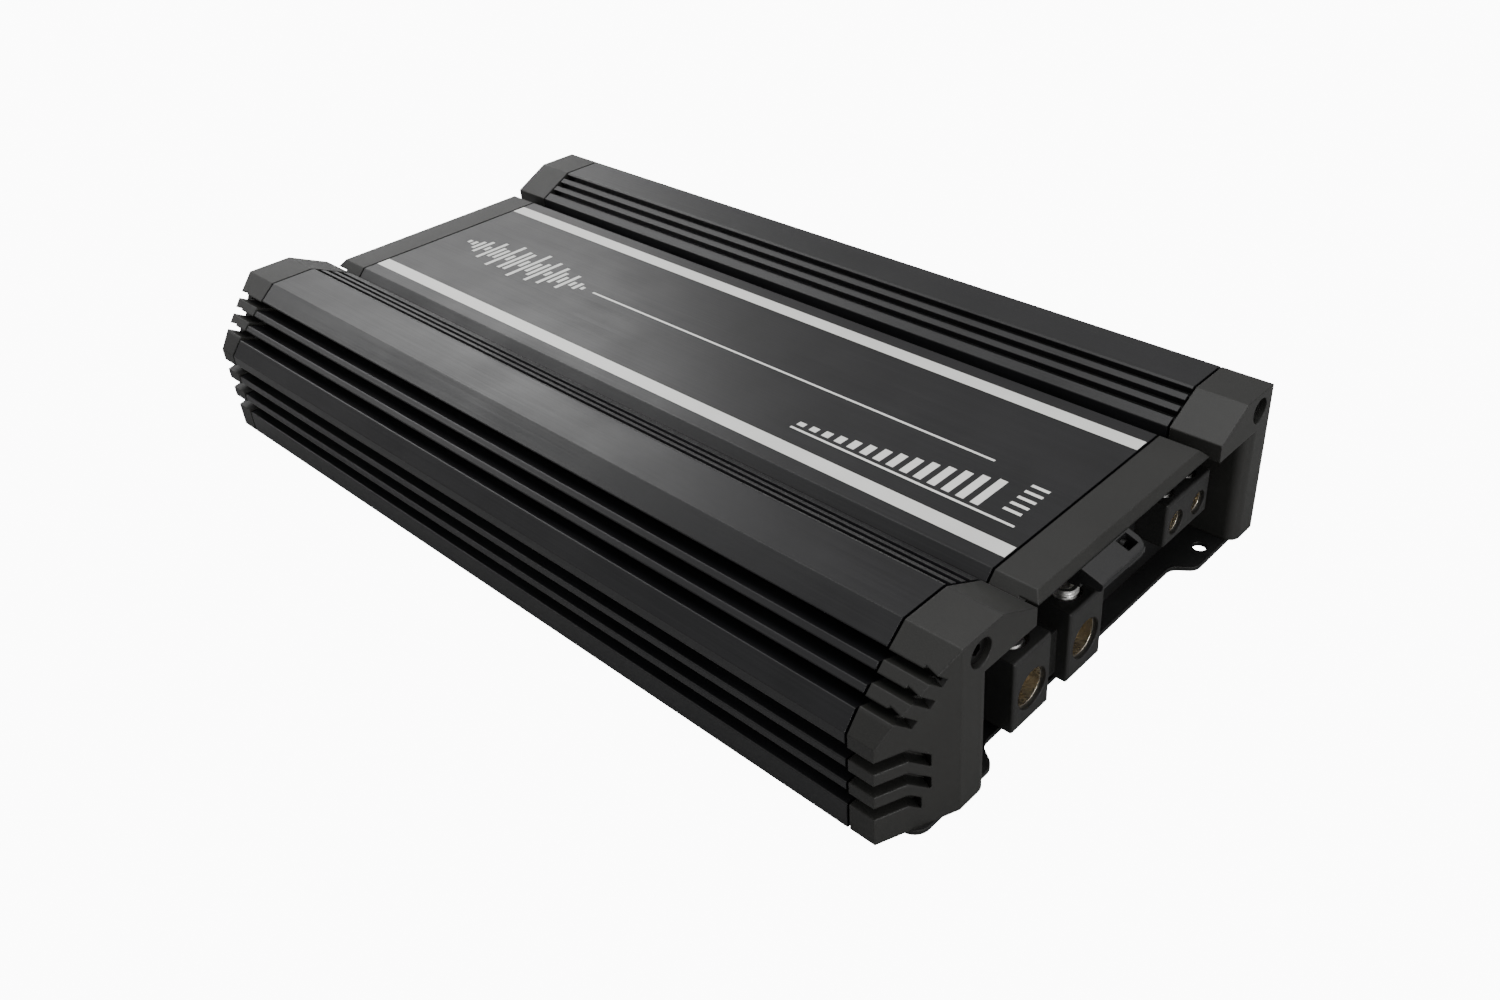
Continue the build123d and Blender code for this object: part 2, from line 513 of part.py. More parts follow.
def power_housing():
    """One insulating moulding with two deep blocks and a shallower middle."""
    bodies = []
    foot_rear = BOARD_HALF_LENGTH + BOARD_GAP
    half = POWER_WIDTH / 2
    for y in POWER_Y:
        bodies.append(block(HOUSING_REAR, TERMINAL_FRONT, y - half, y + half, BOARD_TOP, POWER_HIGH))
        bodies.append(block(foot_rear, TERMINAL_FRONT, y - half, y + half, POWER_LOW, BOARD_TOP))
    span = (POWER_Y[0] + POWER_WIDTH / 2, POWER_Y[1] - POWER_WIDTH / 2)
    bodies.append(block(HOUSING_REAR, REMOTE_FRONT, span[0], span[1], BOARD_TOP, REMOTE_HIGH))
    bodies.append(block(foot_rear, REMOTE_FRONT, span[0], span[1], POWER_LOW + HOUSING_WALL, BOARD_TOP))
    body = join_all(bodies)
    front = [edge for edge in body.edges()
             if abs(edge.center().X - TERMINAL_FRONT) < 0.01]
    body = fillet(front, HOUSING_ROUND)
    tools = []
    for y in POWER_Y:
        tools.append(socket_envelope(y, POWER_WIDTH, POWER_SOCKET_HIGH, TERMINAL_FRONT))
        tools.append(rod((TERMINAL_FRONT - 5, y, CABLE_Z), (TERMINAL_FRONT + 1, y, CABLE_Z),
                         CABLE_RADIUS + HOLE_EASE))
        screw_x = TERMINAL_FRONT - POWER_SCREW_SETBACK
        tools.append(rod((screw_x, y, POWER_SOCKET_HIGH - 1), (screw_x, y, POWER_HIGH + 1),
                         SCREW_ACCESS_RADIUS))
    tools.append(remote_envelope())
    tools.append(rod((REMOTE_FRONT - 4, REMOTE_Y, REMOTE_Z), (REMOTE_FRONT + 1, REMOTE_Y, REMOTE_Z),
                     REMOTE_WIRE_RADIUS))
    screw_x = REMOTE_FRONT - REMOTE_SCREW_SETBACK
    tools.append(rod((screw_x, REMOTE_Y, REMOTE_Z), (screw_x, REMOTE_Y, REMOTE_HIGH + 1),
                     REMOTE_SCREW_RADIUS + SMALL_SCREW_ACCESS))
    return cut_all(body, tools)


def socket_envelope(y, width, high, front):
    """Space that a power socket fills inside the housing."""
    half = width / 2 - HOUSING_WALL
    return block(HOUSING_REAR + SOCKET_REAR_WALL, front - HOUSING_WALL, y - half, y + half,
                 BOARD_TOP, high)


def power_socket(y):
    """Plated brass block: a cable bore along X, and a thread from the top for the clamping screw."""
    body = socket_envelope(y, POWER_WIDTH, POWER_SOCKET_HIGH, TERMINAL_FRONT)
    screw_x = TERMINAL_FRONT - POWER_SCREW_SETBACK
    bore = rod((screw_x - BORE_BEHIND_SCREW, y, CABLE_Z), (TERMINAL_FRONT, y, CABLE_Z), CABLE_RADIUS)
    thread = rod((screw_x, y, CABLE_Z), (screw_x, y, POWER_SOCKET_HIGH + 1), POWER_SCREW_RADIUS)
    return body - bore - thread


def set_screw(x, y, top, length, radius, across_flats):
    """Headless clamping screw with a hexagon socket and a chamfered tip."""
    body = rod((x, y, top - length), (x, y, top), radius - THREAD_CLEARANCE)
    tip = [edge for edge in body.edges() if abs(edge.center().Z - (top - length)) < 0.01]
    body = chamfer(tip, radius * TIP_CHAMFER_SHARE)
    return body - hex_rod((x, y, top - length * KEY_DEPTH_SHARE), (x, y, top + 0.1), across_flats)


def remote_envelope():
    """Space that the remote terminal's small socket fills inside the housing."""
    front = REMOTE_FRONT - HOUSING_WALL
    half = REMOTE_SOCKET_WIDTH / 2
    return block(front - REMOTE_SOCKET_LENGTH, front, REMOTE_Y - half, REMOTE_Y + half,
                 BOARD_TOP, REMOTE_Z + REMOTE_SOCKET_ABOVE)


def remote_socket():
    screw_x = REMOTE_FRONT - REMOTE_SCREW_SETBACK
    bore = rod((screw_x - REMOTE_BORE_BEHIND_SCREW, REMOTE_Y, REMOTE_Z), (REMOTE_FRONT, REMOTE_Y, REMOTE_Z),
               REMOTE_WIRE_RADIUS - HOLE_EASE / 2)
    thread = rod((screw_x, REMOTE_Y, REMOTE_Z), (screw_x, REMOTE_Y, REMOTE_Z + REMOTE_SOCKET_ABOVE + 1),
                 REMOTE_SCREW_RADIUS)
    return remote_envelope() - bore - thread


def speaker_envelope(y):
    half = SPEAKER_CABLE_RADIUS + SPEAKER_SOCKET_WALL
    return block(HOUSING_REAR + SOCKET_REAR_WALL, SPEAKER_FRONT - HOUSING_WALL, y - half, y + half,
                 SPEAKER_Z - half, SPEAKER_SOCKET_HIGH)


def speaker_housing():
    half = SPEAKER_WIDTH / 2
    nose = block(HOUSING_REAR, SPEAKER_FRONT, SPEAKER_Y - half, SPEAKER_Y + half, SPEAKER_LOW, SPEAKER_HIGH)
    front = [edge for edge in nose.edges() if abs(edge.center().X - SPEAKER_FRONT) < 0.01]
    nose = fillet(front, HOUSING_ROUND)
    pedestal = block(HOUSING_REAR, BOARD_HALF_LENGTH, SPEAKER_Y - half + 1, SPEAKER_Y + half - 1,
                     BOARD_TOP, SPEAKER_LOW)
    body = nose + pedestal
    tools = []
    for y in SPEAKER_WIRES:
        tools.append(speaker_envelope(y))
        tools.append(rod((SPEAKER_FRONT - 4, y, SPEAKER_Z), (SPEAKER_FRONT + 1, y, SPEAKER_Z),
                         SPEAKER_CABLE_RADIUS + HOLE_EASE))
        screw_x = SPEAKER_FRONT - SPEAKER_SCREW_SETBACK
        tools.append(rod((screw_x, y, SPEAKER_SOCKET_HIGH - 1), (screw_x, y, SPEAKER_HIGH + 1),
                         SPEAKER_SCREW_RADIUS + SMALL_SCREW_ACCESS))
    return cut_all(body, tools)


def speaker_socket(y):
    screw_x = SPEAKER_FRONT - SPEAKER_SCREW_SETBACK
    bore = rod((screw_x - SPEAKER_BORE_BEHIND_SCREW, y, SPEAKER_Z), (SPEAKER_FRONT, y, SPEAKER_Z),
               SPEAKER_CABLE_RADIUS)
    thread = rod((screw_x, y, SPEAKER_Z), (screw_x, y, SPEAKER_SOCKET_HIGH + 1), SPEAKER_SCREW_RADIUS)
    return speaker_envelope(y) - bore - thread


def end_panel(windows):
    """Sheet steel panel that closes one end of the extrusion inside the cap."""
    half = INNER_WALL - 2 * POCKET_SIDE
    return cut_all(block(HALF, PANEL_FRONT, -half, half, PLATE_THICKNESS, BRIM + PANEL_LAP), windows)


def grown(shape_box, gap):
    """A window round a block given as (y0, y1, z0, z1)."""
    y0, y1, z0, z1 = shape_box
    return block(HALF - 1, PANEL_FRONT + 1, y0 - gap, y1 + gap, z0 - gap, z1 + gap)


def terminal_windows():
    low_y = POWER_Y[0] - POWER_WIDTH / 2
    high_y = POWER_Y[1] + POWER_WIDTH / 2
    speaker = (SPEAKER_Y - SPEAKER_WIDTH / 2, SPEAKER_Y + SPEAKER_WIDTH / 2, SPEAKER_LOW, SPEAKER_HIGH)
    return [grown((low_y, high_y, POWER_LOW, POWER_HIGH), WINDOW_CLEARANCE), grown(speaker, WINDOW_CLEARANCE)]


# visor for the status lamps, just under the bar
HOOD_FRONT = CAP_END + 4.8
HOOD_Y = (-OPENING + 41.7, -OPENING + 64.7)
HOOD_ROOT = PANEL_FRONT + BAR_ROOT_LENGTH + 0.2
HOOD_LIP = CAP_END - BAR_SETBACK + BAR_BEVEL_RUN
HOOD_TOP = BAR_LOW - 0.1
HOOD_FALL = 2.3               # drop of the top surface from the bar to the nose
HOOD_NOSE = HOOD_TOP - HOOD_FALL
HOOD_THICKNESS, HOOD_CHIN = 2.6, 1.6         # visor, and the rounding of its lower front edge
HOOD_ROOT_HEIGHT = 6.2
HOOD_CORNER = 4.0
LENS_LENGTH, LENS_WIDTH, LENS_DEPTH, LENS_RIM = 7.6, 0.9, 1.8, 0.3
LENS_Y = (HOOD_Y[0] + 6.1, HOOD_Y[0] + 17.6)
POCKET_X = (CAP_END - 1.5, CAP_END + 2.6)
POCKET_Y = (HOOD_Y[1] - 7.0, HOOD_Y[1] - 2.0)
POCKET_DEPTH, POCKET_WALL = 5.2, 1.0
HOOD_SCREW_Y = sum(POCKET_Y) / 2
HOOD_SCREW_Z = HOOD_TOP - 2.8
HOOD_SCREW_RADIUS, HOOD_SCREW_HEAD, HOOD_SCREW_HEAD_LENGTH, HOOD_SCREW_KEY = 1.05, 1.9, 1.6, 1.8


def hood_outline(front, low):
    """Profile of the visor from its root to a front, between its falling top and a level underside."""
    front_top = HOOD_TOP - HOOD_FALL * (front - HOOD_LIP) / (HOOD_FRONT - HOOD_LIP)
    return [(HOOD_ROOT, HOOD_TOP), (HOOD_LIP, HOOD_TOP), (front, front_top), (front, low), (HOOD_ROOT, low)]


def status_hood():
    """Small moulded visor over the terminals that holds the two status lamps."""
    visor = prism_y(hood_outline(HOOD_FRONT, HOOD_NOSE - HOOD_THICKNESS), *HOOD_Y)
    corner = [edge for edge in visor.edges().filter_by(Axis.Z)
              if abs(edge.center().X - HOOD_FRONT) < 0.01 and abs(edge.center().Y - HOOD_Y[1]) < 0.01]
    visor = fillet(corner, HOOD_CORNER)
    chin = [edge for edge in visor.edges().filter_by(Axis.Y)
            if abs(edge.center().X - HOOD_FRONT) < 0.01 and edge.center().Z < HOOD_NOSE - 1]
    visor = fillet(chin, HOOD_CHIN)
    low = HOOD_TOP - HOOD_ROOT_HEIGHT
    root = block(HOOD_ROOT, HOOD_LIP, *HOOD_Y, low, HOOD_TOP)
    boss = prism_y(hood_outline(POCKET_X[1] + POCKET_WALL, low),
                   POCKET_Y[0] - POCKET_WALL, POCKET_Y[1] + POCKET_WALL)
    tools = [lens_body(y) for y in LENS_Y]
    tools.append(block(*POCKET_X, *POCKET_Y, HOOD_TOP - POCKET_DEPTH, HOOD_TOP + 1))
    shank_start = (HOOD_ROOT - 1, HOOD_SCREW_Y, HOOD_SCREW_Z)
    tools.append(rod(shank_start, (POCKET_X[0] + 1, HOOD_SCREW_Y, HOOD_SCREW_Z), HOOD_SCREW_RADIUS))
    return cut_all(join_all([visor, root, boss]), tools)


def lens_body(y):
    """Bar-shaped lamp window let into the visor's front edge."""
    return block(HOOD_FRONT - LENS_RIM - LENS_WIDTH, HOOD_FRONT - LENS_RIM, y - LENS_LENGTH / 2,
                 y + LENS_LENGTH / 2, HOOD_NOSE - LENS_DEPTH, HOOD_NOSE)


def hood_screw():
    """Small socket screw that ties the visor to the bar, driven along X from inside its pocket."""
    seat = (POCKET_X[0], HOOD_SCREW_Y, HOOD_SCREW_Z)
    head_end = (POCKET_X[0] + HOOD_SCREW_HEAD_LENGTH, HOOD_SCREW_Y, HOOD_SCREW_Z)
    shank = rod((HOOD_ROOT + 0.5, HOOD_SCREW_Y, HOOD_SCREW_Z), seat, HOOD_SCREW_RADIUS - SEAT_CLEARANCE)
    head = rod(seat, head_end, HOOD_SCREW_HEAD)
    socket = hex_rod((POCKET_X[0] + 0.6, HOOD_SCREW_Y, HOOD_SCREW_Z), (head_end[0] + 0.1, *head_end[1:]),
                     HOOD_SCREW_KEY)
    return shank + head - socket


# ---------------------------------------------------------------- bottom plate
def plate_half_outline():
    """Right-hand (+X) edge of the plate as a list of lines and arcs, from -Y to +Y."""
    low = HALF + PLATE_OVERHANG
    high = low + TAB_LENGTH
    side = SIDE - PLATE_EDGE
    far_y, near_y = TAB_INNER_Y
    half = TAB_BLEND / 2
    near = Spline([(high, near_y - half), (low, near_y + half)], tangents=[(0, 1), (0, 1)])
    far = Spline([(low, far_y - half), (high, far_y + half)], tangents=[(0, 1), (0, 1)])
    return [
        Line((0, -side), (high - NEAR_CORNER, -side)),
        RadiusArc((high - NEAR_CORNER, -side), (high, -side + NEAR_CORNER), -NEAR_CORNER),
        Line((high, -side + NEAR_CORNER), (high, near_y - half)),
        near,
        Line((low, near_y + half), (low, far_y - half)),
        far,
        Line((high, far_y + half), (high, side - FAR_CORNER)),
        RadiusArc((high, side - FAR_CORNER), (high - FAR_CORNER, side), -FAR_CORNER),
        Line((high - FAR_CORNER, side), (0, side)),
    ]


def bottom_plate():
    right = plate_half_outline()
    left = [mirror(edge, about=Plane.YZ) for edge in right]
    face = make_face(right + left)
    body = extrude(face, amount=PLATE_THICKNESS, dir=(0, 0, 1))
    tools = []
    for x in (-HALF - TAB_HOLE_X, HALF + TAB_HOLE_X):
        for y in TAB_HOLE_Y:
            tools.append(rod((x, y, -1), (x, y, PLATE_THICKNESS + 1), TAB_HOLE_RADIUS))
    for x in PLATE_SCREW_X:
        for y in (-PLATE_SCREW_Y, PLATE_SCREW_Y):
            tools.append(rod((x, y, -1), (x, y, PLATE_THICKNESS + 1), PLATE_SCREW_RADIUS + 0.1))
            tools.append(Pos(x, y, 0) * countersink())
    return cut_all(body, tools)


def countersink():
    """Cone of a flat screw head, wide end down."""
    depth = PLATE_SCREW_HEAD_RADIUS - PLATE_SCREW_RADIUS
    return Cone(PLATE_SCREW_HEAD_RADIUS + 0.05, PLATE_SCREW_RADIUS + 0.05, depth,
                align=(Align.CENTER, Align.CENTER, Align.MIN))


def plate_screw(x, y):
    depth = PLATE_SCREW_HEAD_RADIUS - PLATE_SCREW_RADIUS
    sink, arm, slot = PLATE_SCREW_SINK, PLATE_SCREW_CROSS / 2, PLATE_SCREW_CROSS_SLOT / 2
    head = Pos(x, y, sink) * Cone(PLATE_SCREW_HEAD_RADIUS - 0.1, PLATE_SCREW_RADIUS - 0.05, depth,
                                  align=(Align.CENTER, Align.CENTER, Align.MIN))
    shank = rod((x, y, sink + 0.5), (x, y, PLATE_SCREW_REACH), PLATE_SCREW_RADIUS - SEAT_CLEARANCE)
    lengthwise = block(x - arm, x + arm, y - slot, y + slot, 0, sink + PLATE_SCREW_CROSS_DEPTH)
    crosswise = block(x - slot, x + slot, y - arm, y + arm, 0, sink + PLATE_SCREW_CROSS_DEPTH)
    return head + shank - lengthwise - crosswise


# ---------------------------------------------------------------- inside
STANDOFF_X = [share * (BOARD_HALF_LENGTH - 22.0) for share in (-1.0, 0.0, 1.0)]
STANDOFF_Y = BOARD_HALF_WIDTH - 16.0
STANDOFF_HEX = 5.5
BOARD_SCREW_RADIUS = 1.5
PAN_HEAD_RADIUS, PAN_HEAD_HEIGHT = 2.8, 2.0
HEAD_SLOT_LENGTH, HEAD_SLOT_WIDTH, HEAD_SLOT_DEPTH = 3.4, 0.8, 0.9


def main_board():
    board = block(-BOARD_HALF_LENGTH, BOARD_HALF_LENGTH, -BOARD_HALF_WIDTH, BOARD_HALF_WIDTH,
                  BOARD_LOW, BOARD_TOP)
    holes = []
    for x in STANDOFF_X:
        low, high = (x, STANDOFF_Y, BOARD_LOW - 1), (x, STANDOFF_Y, BOARD_TOP + 1)
        holes += both_sides(rod(low, high, BOARD_SCREW_RADIUS))
    return cut_all(board, holes)


def standoffs():
    pieces = []
    for x in STANDOFF_X:
        post = hex_rod((x, STANDOFF_Y, PLATE_THICKNESS), (x, STANDOFF_Y, BOARD_LOW), STANDOFF_HEX)
        foot = (x, STANDOFF_Y, PLATE_THICKNESS + 0.6)
        tapped = rod(foot, (x, STANDOFF_Y, BOARD_LOW + 1), BOARD_SCREW_RADIUS)
        pieces += both_sides(post - tapped)
    return pieces


def board_screws():
    pieces = []
    for x in STANDOFF_X:
        radius = BOARD_SCREW_RADIUS - SEAT_CLEARANCE
        shank = rod((x, STANDOFF_Y, PLATE_THICKNESS + 1.0), (x, STANDOFF_Y, BOARD_TOP), radius)
        head_top = BOARD_TOP + PAN_HEAD_HEIGHT
        head = rod((x, STANDOFF_Y, BOARD_TOP), (x, STANDOFF_Y, head_top), PAN_HEAD_RADIUS)
        slot = block(x - HEAD_SLOT_LENGTH / 2, x + HEAD_SLOT_LENGTH / 2, STANDOFF_Y - HEAD_SLOT_WIDTH / 2,
                     STANDOFF_Y + HEAD_SLOT_WIDTH / 2, head_top - HEAD_SLOT_DEPTH, head_top + 1)
        pieces += both_sides(shank + head - slot)
    return pieces


CEILING = CREST - VALLEY_CEILING_DROP
PART_CLEARANCE = 1.6
TRANSFORMER_OUTER, TRANSFORMER_INNER, TRANSFORMER_HEIGHT = 21.0, 11.0, 18.0
CHOKE_OUTER, CHOKE_INNER, CHOKE_HEIGHT = 16.0, 9.0, 14.0
WIRE_BUILD, WINDING_GAP = 2.4, 6.0
CAN_RADIUS = 9.0
CAN_HEIGHT = min(30.0, CEILING - BOARD_TOP - PART_CLEARANCE)
CAN_PITCH = 21.0
CAN_GROOVE_DEPTH, CAN_GROOVE_LOW, CAN_GROOVE_HIGH = 0.7, 2.5, 4.0
END_ZONE = 34.0               # board end to the first row of cans
RAIL_ZONE = 52.0              # board's control end to the row of rail cans
FILM_LENGTH, FILM_WIDTH, FILM_HEIGHT, FILM_PITCH = 18.0, 12.0, 20.0, 26.0
FILM_SETBACK = 6.0            # first row of cans to the first film capacitor
TRANSFORMER_Y = -(BOARD_HALF_WIDTH - 46.0)
TRANSFORMER_X = (-26.0, 26.0)
CHOKE_Y = BOARD_HALF_WIDTH - 42.0
CHOKE_X = (-12.0, 28.0)


def ring(x, y, outer, inner, low, high):
    return rod((x, y, low), (x, y, high), outer) - rod((x, y, low - 1), (x, y, high + 1), inner)


def wound_ring(x, y, outer, inner, height, gap_side):
    """Ferrite ring and its winding, which leaves the ring bare on one side."""
    low = BOARD_TOP + WIRE_BUILD
    core = ring(x, y, outer, inner, low, low + height)
    winding = ring(x, y, outer + WIRE_BUILD, inner - WIRE_BUILD, low - WIRE_BUILD, low + height + WIRE_BUILD)
    gap = block(x - WINDING_GAP / 2, x + WINDING_GAP / 2, y, y + gap_side * (outer + WIRE_BUILD + 1),
                low - WIRE_BUILD - 1, low + height + WIRE_BUILD + 1)
    return core, winding - core - gap


def can(x, y, height):
    """Electrolytic capacitor standing on the board, with a rolled groove near its foot."""
    body = rod((x, y, BOARD_TOP), (x, y, BOARD_TOP + height), CAN_RADIUS)
    return body - ring(x, y, CAN_RADIUS + 1, CAN_RADIUS - CAN_GROOVE_DEPTH, BOARD_TOP + CAN_GROOVE_LOW,
                       BOARD_TOP + CAN_GROOVE_HIGH)


def input_cans():
    """Two rows of cans behind the power terminals."""
    first = BOARD_HALF_LENGTH - END_ZONE
    return [can(first - row * CAN_PITCH, REMOTE_Y + (column - 1) * CAN_PITCH, CAN_HEIGHT)
            for row in range(2) for column in range(3)]


def rail_cans():
    """One row of cans near the control end."""
    first = -BOARD_HALF_LENGTH + RAIL_ZONE
    return [can(first, (column - 1.5) * (CAN_PITCH + 2), CAN_HEIGHT) for column in range(4)]


def film_capacitors():
    first = BOARD_HALF_LENGTH - END_ZONE - FILM_SETBACK
    middles = [first - FILM_PITCH * index for index in range(2)]
    return [block(x - FILM_LENGTH / 2, x + FILM_LENGTH / 2,
                  SPEAKER_Y - FILM_WIDTH / 2, SPEAKER_Y + FILM_WIDTH / 2, BOARD_TOP, BOARD_TOP + FILM_HEIGHT)
            for x in middles]


def transistor(x):
    """Flat power package against the +Y wall, with three bent legs into the board."""
    wall = INNER_WALL - PAD_THICKNESS
    body = block(x - PACKAGE_WIDTH / 2, x + PACKAGE_WIDTH / 2, wall - PACKAGE_DEPTH, wall,
                 PACKAGE_LOW, PACKAGE_LOW + PACKAGE_HEIGHT)
    legs = [block(x + shift - LEG_WIDTH / 2, x + shift + LEG_WIDTH / 2, wall - LEG_FRONT, wall - LEG_BACK,
                  BOARD_TOP, PACKAGE_LOW) for shift in (-LEG_PITCH, 0.0, LEG_PITCH)]
    return join_all([body] + legs)


def insulating_pad():
    """Thin thermal pad between the packages and the +Y wall."""
    reach = PACKAGE_X[-1] + PACKAGE_WIDTH / 2 + 1
    pad = block(-reach, reach, INNER_WALL - PAD_THICKNESS, INNER_WALL, PACKAGE_LOW - 1,
                min(PACKAGE_LOW + PACKAGE_HEIGHT + 0.5, CREST - INNER_CORNER_DROP))
    holes = [rod((x, INNER_WALL - 2, CLAMP_Z), (x, INNER_WALL + 1, CLAMP_Z), CLAMP_SCREW_RADIUS + 0.2)
             for x in CLAMP_SCREW_X]
    return cut_all(pad, holes)


def clamp_bar():
    reach = PACKAGE_X[-1] + PACKAGE_WIDTH / 2
    face = INNER_WALL - PAD_THICKNESS - PACKAGE_DEPTH
    bar = block(-reach, reach, face - BAR_THICKNESS, face, CLAMP_Z - BAR_HEIGHT / 2, CLAMP_Z + BAR_HEIGHT / 2)
    holes = [rod((x, face - BAR_THICKNESS - 1, CLAMP_Z), (x, face + 1, CLAMP_Z), CLAMP_SCREW_RADIUS + 0.2)
             for x in CLAMP_SCREW_X]
    return cut_all(bar, holes)


def clamp_screw(x):
    face = INNER_WALL - PAD_THICKNESS - PACKAGE_DEPTH - BAR_THICKNESS
    shank = rod((x, face, CLAMP_Z), (x, INNER_WALL + CLAMP_SCREW_DEPTH - 0.5, CLAMP_Z),
                CLAMP_SCREW_RADIUS - SEAT_CLEARANCE)
    head_top = face - PAN_HEAD_HEIGHT
    head = rod((x, head_top, CLAMP_Z), (x, face, CLAMP_Z), PAN_HEAD_RADIUS)
    slot = block(x - HEAD_SLOT_LENGTH / 2, x + HEAD_SLOT_LENGTH / 2, head_top - 1, head_top + HEAD_SLOT_DEPTH,
                 CLAMP_Z - HEAD_SLOT_WIDTH / 2, CLAMP_Z + HEAD_SLOT_WIDTH / 2)
    return shank + head - slot


# upright daughter board between the control board and the rail capacitors
DRIVER_X = -BOARD_HALF_LENGTH + 28.0
DRIVER_Y, DRIVER_LENGTH, DRIVER_HEIGHT = 8.0, 50.0, 24.0
CHIP_SHIFTS = (5.0, 20.0, 35.0)
CHIP_LENGTH, CHIP_HEIGHT, CHIP_THICKNESS, CHIP_FOOT = 10.0, 6.0, 1.8, 9.0


def driver_board():
    return block(DRIVER_X, DRIVER_X + BOARD_THICKNESS, DRIVER_Y, DRIVER_Y + DRIVER_LENGTH,
                 BOARD_TOP, BOARD_TOP + DRIVER_HEIGHT)


def driver_chips():
    """Control chips on the face of the daughter board."""
    foot = BOARD_TOP + CHIP_FOOT
    return [block(DRIVER_X - CHIP_THICKNESS, DRIVER_X, DRIVER_Y + shift, DRIVER_Y + shift + CHIP_LENGTH,
                  foot, foot + CHIP_HEIGHT) for shift in CHIP_SHIFTS]


# ---------------------------------------------------------------- control end, built at -X
CONTROL_PANEL = -PANEL_FRONT
CONTROL_BOARD_X = -HALF + 13.0
CONTROL_BOARD_HEIGHT, CONTROL_BOARD_MARGIN = 31.0, 2.0
BEHIND_PANEL = 0.4            # inner face of the panel to a control body
JACK_ROWS = (14.5, 31.0)
JACK_COLUMNS = (OPENING - 13.5, OPENING - 30.5)
JACK_SHELL_RADIUS, JACK_BORE_RADIUS, JACK_LENGTH = 4.15, 3.3, 9.0
JACK_PIN_RADIUS, JACK_PIN_WALL = 1.65, 0.6
JACK_BLOCK_BELOW, JACK_BLOCK_ABOVE, JACK_BLOCK_SIDE = 7.3, 7.0, 8.0
JACK_SEAT_DEPTH = 6.0         # end of the extrusion to the inner end of a shell
JACK_FLANGE_WIDTH, JACK_FLANGE_THICKNESS = 1.1, 1.0
JACK_PLUG_SINK = 1.5          # panel face to the face of the insulator
KNOB_COUNT = 4
KNOB_ROW = 30.5
SWITCH_ROW = 13.0
ROW_START, ROW_END = OPENING - 52.0, -OPENING + 12.0
KNOB_Y = [ROW_START + (ROW_END - ROW_START) * index / (KNOB_COUNT - 1) for index in range(KNOB_COUNT)]
KNOB_RADIUS, KNOB_PROUD = 3.6, 4.2
SHAFT_RADIUS = 2.0
POT_SIZE, POT_DEPTH = 9.5, 6.5
POT_SEAT = 1.0                # metal behind the end of a shaft's bore
PIN_ROW_WIDTH, PIN_ROW_HEIGHT = 5.0, 2.0     # pins between a control body and its board
KNOB_FLUTES, FLUTE_RADIUS, FLUTE_OFFSET = 12, 0.55, 0.25
KNOB_RIM, POINTER_WIDTH, POINTER_START = 0.5, 0.7, 0.3
SWITCH_Y = (ROW_START, (ROW_START + ROW_END) / 2)
SWITCH_TRAVEL = 1.5
SWITCH_BODY = (12.0, 6.0, 5.5)
SLIDER_WIDTH, SLIDER_HEIGHT, SLIDER_PROUD = 3.0, 2.4, 2.2
SLIDER_CLEARANCE = 0.3
RIDGE_PITCH, RIDGE_WIDTH, RIDGE_DEPTH = 0.75, 0.5, 0.6
REMOTE_JACK_Y = ROW_END
REMOTE_JACK_CLEARANCE = 0.1
REMOTE_JACK_WIDTH, REMOTE_JACK_ABOVE, REMOTE_JACK_PROUD = 13.0, 6.0, 1.2
MOUTH_WIDTH, MOUTH_BELOW, MOUTH_ABOVE, MOUTH_DEPTH = 9.8, 3.6, 3.2, 9.0
LATCH_WIDTH, LATCH_BELOW, LATCH_DEPTH = 4.0, 5.0, 6.0


def control_board():
    """Upright board that carries the jacks, controls and switches."""
    half = OPENING - CONTROL_BOARD_MARGIN
    return block(CONTROL_BOARD_X, CONTROL_BOARD_X + BOARD_THICKNESS, -half, half,
                 BOARD_TOP, BOARD_TOP + CONTROL_BOARD_HEIGHT)


def jack_body():
    """Moulded block that holds the four signal sockets behind the panel."""
    low, high = JACK_ROWS[0] - JACK_BLOCK_BELOW, JACK_ROWS[1] + JACK_BLOCK_ABOVE
    body = block(-HALF + BEHIND_PANEL / 2, CONTROL_BOARD_X, JACK_COLUMNS[1] - JACK_BLOCK_SIDE,
                 JACK_COLUMNS[0] + JACK_BLOCK_SIDE, low, high)
    seats = [rod((-HALF - 1, y, z), (-HALF + JACK_SEAT_DEPTH, y, z), JACK_SHELL_RADIUS)
             for y in JACK_COLUMNS for z in JACK_ROWS]
    return cut_all(body, seats)


def jack_shell(y, z):
    """Outer contact of one signal socket, with a flange outside the panel."""
    tube = rod((-HALF + JACK_SEAT_DEPTH, y, z), (CONTROL_PANEL - JACK_LENGTH, y, z), JACK_SHELL_RADIUS)
    flange = rod((CONTROL_PANEL, y, z), (CONTROL_PANEL - JACK_FLANGE_THICKNESS, y, z),
                 JACK_SHELL_RADIUS + JACK_FLANGE_WIDTH)
    hollow = rod((-HALF + JACK_SEAT_DEPTH - 1, y, z), (CONTROL_PANEL - JACK_LENGTH - 1, y, z),
                 JACK_BORE_RADIUS)
    return tube + flange - hollow


